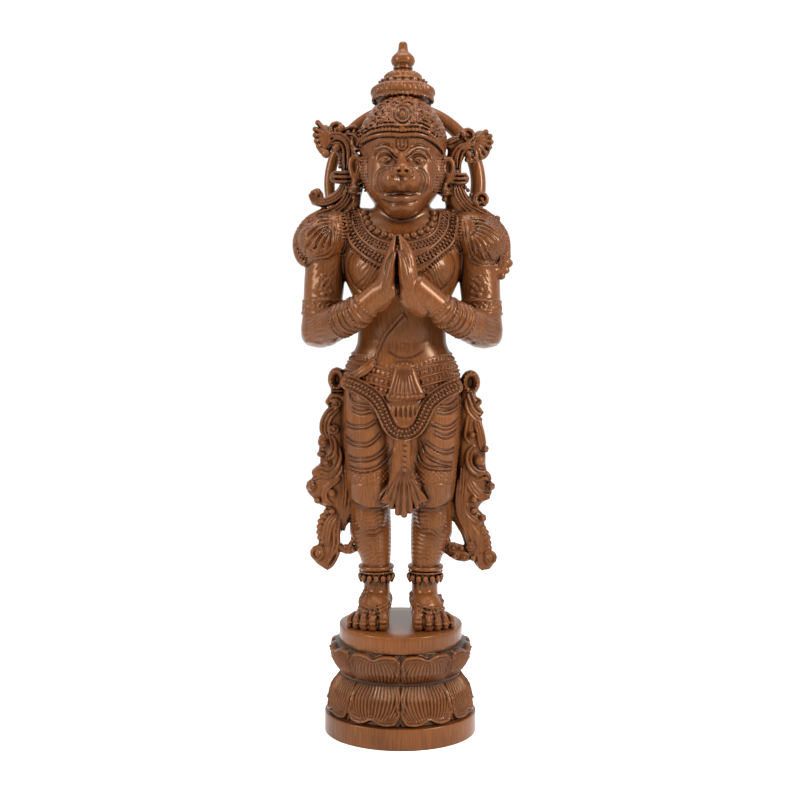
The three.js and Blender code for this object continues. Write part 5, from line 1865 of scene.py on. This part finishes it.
# Painted shade: bands in the waist, at the foot of the lower petals and under the top slab.
recess = recess + 0.6 * bump(level, 78.2, 4.0) + 0.3 * bump(level, 28.5, 2.5) + 0.3 * bump(level, 119, 1.6)
recess[(level[:, 0] < 26.9) | (level[:, 0] > 119.6)] = 0
count = len(rings)
number = np.arange(count * AROUND).reshape(count, AROUND)
beside = np.roll(number, -1, 1)
faces = np.stack([number[:-1], beside[:-1], beside[1:], number[1:]], -1).reshape(-1, 4)
bottom, top = len(points), len(points) + 1
points = np.vstack([points, [[0, 0, 0], [0, 0, TOP]]])
under = np.column_stack([beside[0], number[0], np.full(AROUND, bottom)])
over = np.column_stack([number[-1], beside[-1], np.full(AROUND, top)])
figure.append(whole_mesh("lotus_plinth", points, [faces, under, over],
                         lambda left: np.r_[recess.ravel(), 0, 0], 198))

# %% [markdown]
# ## Wood
#
# The wood is a dark reddish brown with a fine upright grain and slow cloudy
# changes of tone. A photo of wood could be wrapped round the figure, but it
# would smear over the carving. Noise that is stretched along the height runs
# through the block as real grain does, so it is made once as a node group.
# %% Grain group
def value_node(tree, kind, **inputs):
    """A math node with its operation and fixed inputs set."""
    node = tree.nodes.new("ShaderNodeMath")
    node.operation = kind
    for number, value in inputs.items():
        node.inputs[int(number[1:])].default_value = value
    return node


group = bpy.data.node_groups.new("grain", "ShaderNodeTree")
group.interface.new_socket("Scale", in_out="INPUT", socket_type="NodeSocketFloat")
group.interface.new_socket("Grain", in_out="OUTPUT", socket_type="NodeSocketFloat")
group.interface.new_socket("Cloud", in_out="OUTPUT", socket_type="NodeSocketFloat")
inside = group.nodes.new("NodeGroupInput")
outside = group.nodes.new("NodeGroupOutput")
place = group.nodes.new("ShaderNodeTexCoord")
stretch = group.nodes.new("ShaderNodeMapping")
stretch.inputs["Scale"].default_value = (1, 1, 0.07)
fine = group.nodes.new("ShaderNodeTexNoise")
fine.inputs["Detail"].default_value = 4
cloud = group.nodes.new("ShaderNodeTexNoise")
cloud.inputs["Scale"].default_value = 14
cloud.inputs["Detail"].default_value = 3
group.links.new(place.outputs["Object"], stretch.inputs["Vector"])
group.links.new(stretch.outputs["Vector"], fine.inputs["Vector"])
group.links.new(inside.outputs["Scale"], fine.inputs["Scale"])
group.links.new(place.outputs["Object"], cloud.inputs["Vector"])
group.links.new(fine.outputs["Fac"], outside.inputs["Grain"])
group.links.new(cloud.outputs["Fac"], outside.inputs["Cloud"])
print("the group", group.name, "has", len(group.nodes), "nodes")

# %% [markdown]
# Polish lightens the high places, while dirt and old oil stay in the grooves.
# So the grain picks a colour between a dark and a light brown, and the recess
# depth that was kept with the mesh darkens it. A dark glaze could be painted
# on by hand, but the attribute finds every groove. The finish is an even oil
# polish, so roughness and reflection are plain numbers on the shader.
# %% Wood material
GRAIN_SCALE = 520
DARK_WOOD = (0.045, 0.0128, 0.0034, 1)
LIGHT_WOOD = (0.130, 0.0405, 0.0096, 1)
# Painted shade and dirt: the share of the wood's colour that is left at each recess depth.
DIRT_AND_SHADE_STEPS = ((0.12, (0.88, 0.84, 0.82, 1)), (0.36, (0.48, 0.42, 0.42, 1)))  # share of the colour left at a depth
DEEPEST_DIRT_AND_SHADE = (0.08, 0.05, 0.045, 1)
wood = bpy.data.materials.new("carved_wood")
wood.use_nodes = True
tree = wood.node_tree
tree.nodes.clear()
output = tree.nodes.new("ShaderNodeOutputMaterial")
shader = tree.nodes.new("ShaderNodeBsdfPrincipled")
grain = tree.nodes.new("ShaderNodeGroup")
grain.node_tree = group
grain.inputs["Scale"].default_value = GRAIN_SCALE
recess_value = tree.nodes.new("ShaderNodeAttribute")
recess_value.attribute_name = "recess"
tone = tree.nodes.new("ShaderNodeValToRGB")
tone.color_ramp.elements[0].position = 0.32
tone.color_ramp.elements[0].color = DARK_WOOD
tone.color_ramp.elements[1].position = 0.70
tone.color_ramp.elements[1].color = LIGHT_WOOD
# Painted shade and dirt: this ramp darkens the wood by the recess depth, partly as dirt in the grooves,
# partly as the shade that falls there.
dirt_and_shade_tone = tree.nodes.new("ShaderNodeValToRGB")
dirt_and_shade_tone.color_ramp.elements[0].position = 0.0
dirt_and_shade_tone.color_ramp.elements[0].color = (1, 1, 1, 1)
dirt_and_shade_tone.color_ramp.elements[1].position = 0.70
dirt_and_shade_tone.color_ramp.elements[1].color = DEEPEST_DIRT_AND_SHADE
for position, color in DIRT_AND_SHADE_STEPS:
    dirt_and_shade_tone.color_ramp.elements.new(position).color = color
mixed = tree.nodes.new("ShaderNodeMix")
mixed.data_type = "RGBA"
mixed.blend_type = "MULTIPLY"
mixed.inputs["Factor"].default_value = 1
spread = value_node(tree, "MULTIPLY_ADD", _1=0.55, _2=0.0)
cloudy = value_node(tree, "MULTIPLY_ADD", _1=0.45)
tree.links.new(grain.outputs["Grain"], spread.inputs[0])
tree.links.new(grain.outputs["Cloud"], cloudy.inputs[0])
tree.links.new(spread.outputs[0], cloudy.inputs[2])
tree.links.new(cloudy.outputs[0], tone.inputs["Fac"])
tree.links.new(recess_value.outputs["Fac"], dirt_and_shade_tone.inputs["Fac"])
tree.links.new(tone.outputs["Color"], mixed.inputs["A"])
tree.links.new(dirt_and_shade_tone.outputs["Color"], mixed.inputs["B"])
tree.links.new(mixed.outputs["Result"], shader.inputs["Base Color"])
shader.inputs["Roughness"].default_value = 0.27
shader.inputs["Specular IOR Level"].default_value = 0.34
shader.inputs["Specular Tint"].default_value = (1.0, 0.64, 0.42, 1)
tree.links.new(shader.outputs["BSDF"], output.inputs["Surface"])

for piece in figure:
    piece.data.materials.append(wood)
    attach(piece, "root")
    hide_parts("hanuman_figure")
print(len(figure), "pieces are made of", wood.name)

# %% [markdown]
# ## Floor, light and camera
#
# The photo was taken in a white studio. A plain sheet far larger than the
# picture is enough for the floor, and it is marked as part of the stage, so
# that it isn't taken for a piece of the object.
# %% Floor
bpy.ops.mesh.primitive_plane_add(size=12, location=(0, 0, 0))
floor = bpy.context.object
floor.name = "floor"
paper = bpy.data.materials.new("white_paper")
paper.use_nodes = True
paper_shader = paper.node_tree.nodes["Principled BSDF"]
paper_shader.inputs["Base Color"].default_value = (0.97, 0.97, 0.97, 1)
paper_shader.inputs["Roughness"].default_value = 0.8
floor.data.materials.append(paper)
floor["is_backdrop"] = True
print("the floor is", tuple(round(side) for side in floor.dimensions[:2]), "metres")

# %% [markdown]
# Large soft lamps stood at both sides and light came from above. A picture of
# a studio could light the scene, but a white world with three area lamps gives
# the same soft shine along the limbs and needs no file. The lamps are narrow
# and tall, because their reflections on the polish are.
# %% Light
world = bpy.data.worlds.new("studio")
bpy.context.scene.world = world
world.use_nodes = True
world.node_tree.nodes["Background"].inputs["Color"].default_value = (1, 1, 1, 1)
world.node_tree.nodes["Background"].inputs["Strength"].default_value = 1.05
bpy.context.scene.view_settings.view_transform = "Standard"


def lamp(name, place, aim, size, power):
    """A soft rectangular lamp turned to a point."""
    data = bpy.data.lights.new(name, "AREA")
    data.shape = "RECTANGLE"
    data.size, data.size_y = size
    data.energy = power
    made = bpy.data.objects.new(name, data)
    bpy.context.collection.objects.link(made)
    made.location = place
    way = np.array(aim) - np.array(place)
    made.rotation_euler = Vector(way).to_track_quat("-Z", "Y").to_euler()
    print(f"{name}: {power} W")


lamp("soft_left", (-1.5, -0.9, 1.1), (0, 0, 0.5), (0.35, 1.1), 30)
lamp("soft_right", (1.3, -1.0, 1.2), (0, 0, 0.5), (0.2, 0.9), 44)
lamp("soft_top", (0, -0.3, 2.0), (0, 0, 0.4), (1.2, 1.0), 22)

# %% [markdown]
# The photo was taken from a little over a metre away, with the lens at about
# half the height and level. Tilting the camera would make the upright lines
# lean together, so it looks straight ahead and the picture is shifted a
# little, as a view camera does. It is rolled by a quarter of a degree, as the
# photo is.
# %% Camera
camera_data = bpy.data.cameras.new("camera")
camera_data.lens = 45.4
camera_data.sensor_width = 36
camera_data.shift_y = -0.04125
camera = bpy.data.objects.new("camera", camera_data)
bpy.context.collection.objects.link(camera)
camera.location = (-0.0023, -1.344, 0.480)
camera.rotation_euler = (math.radians(90), math.radians(-0.24), 0)
bpy.context.scene.camera = camera
print("the camera stands", round(-camera.location.y, 3), "metres in front of the figure's middle")

# %% [markdown]
# The last cell measures the whole object and prints the box round the finished
# meshes, leaving out the floor, with the time that the scene took.
# %% Finish
bounds_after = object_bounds()
print(f"whole scene in {time.time() - started:.0f} s, box", np.round(bounds_after, 3).tolist())
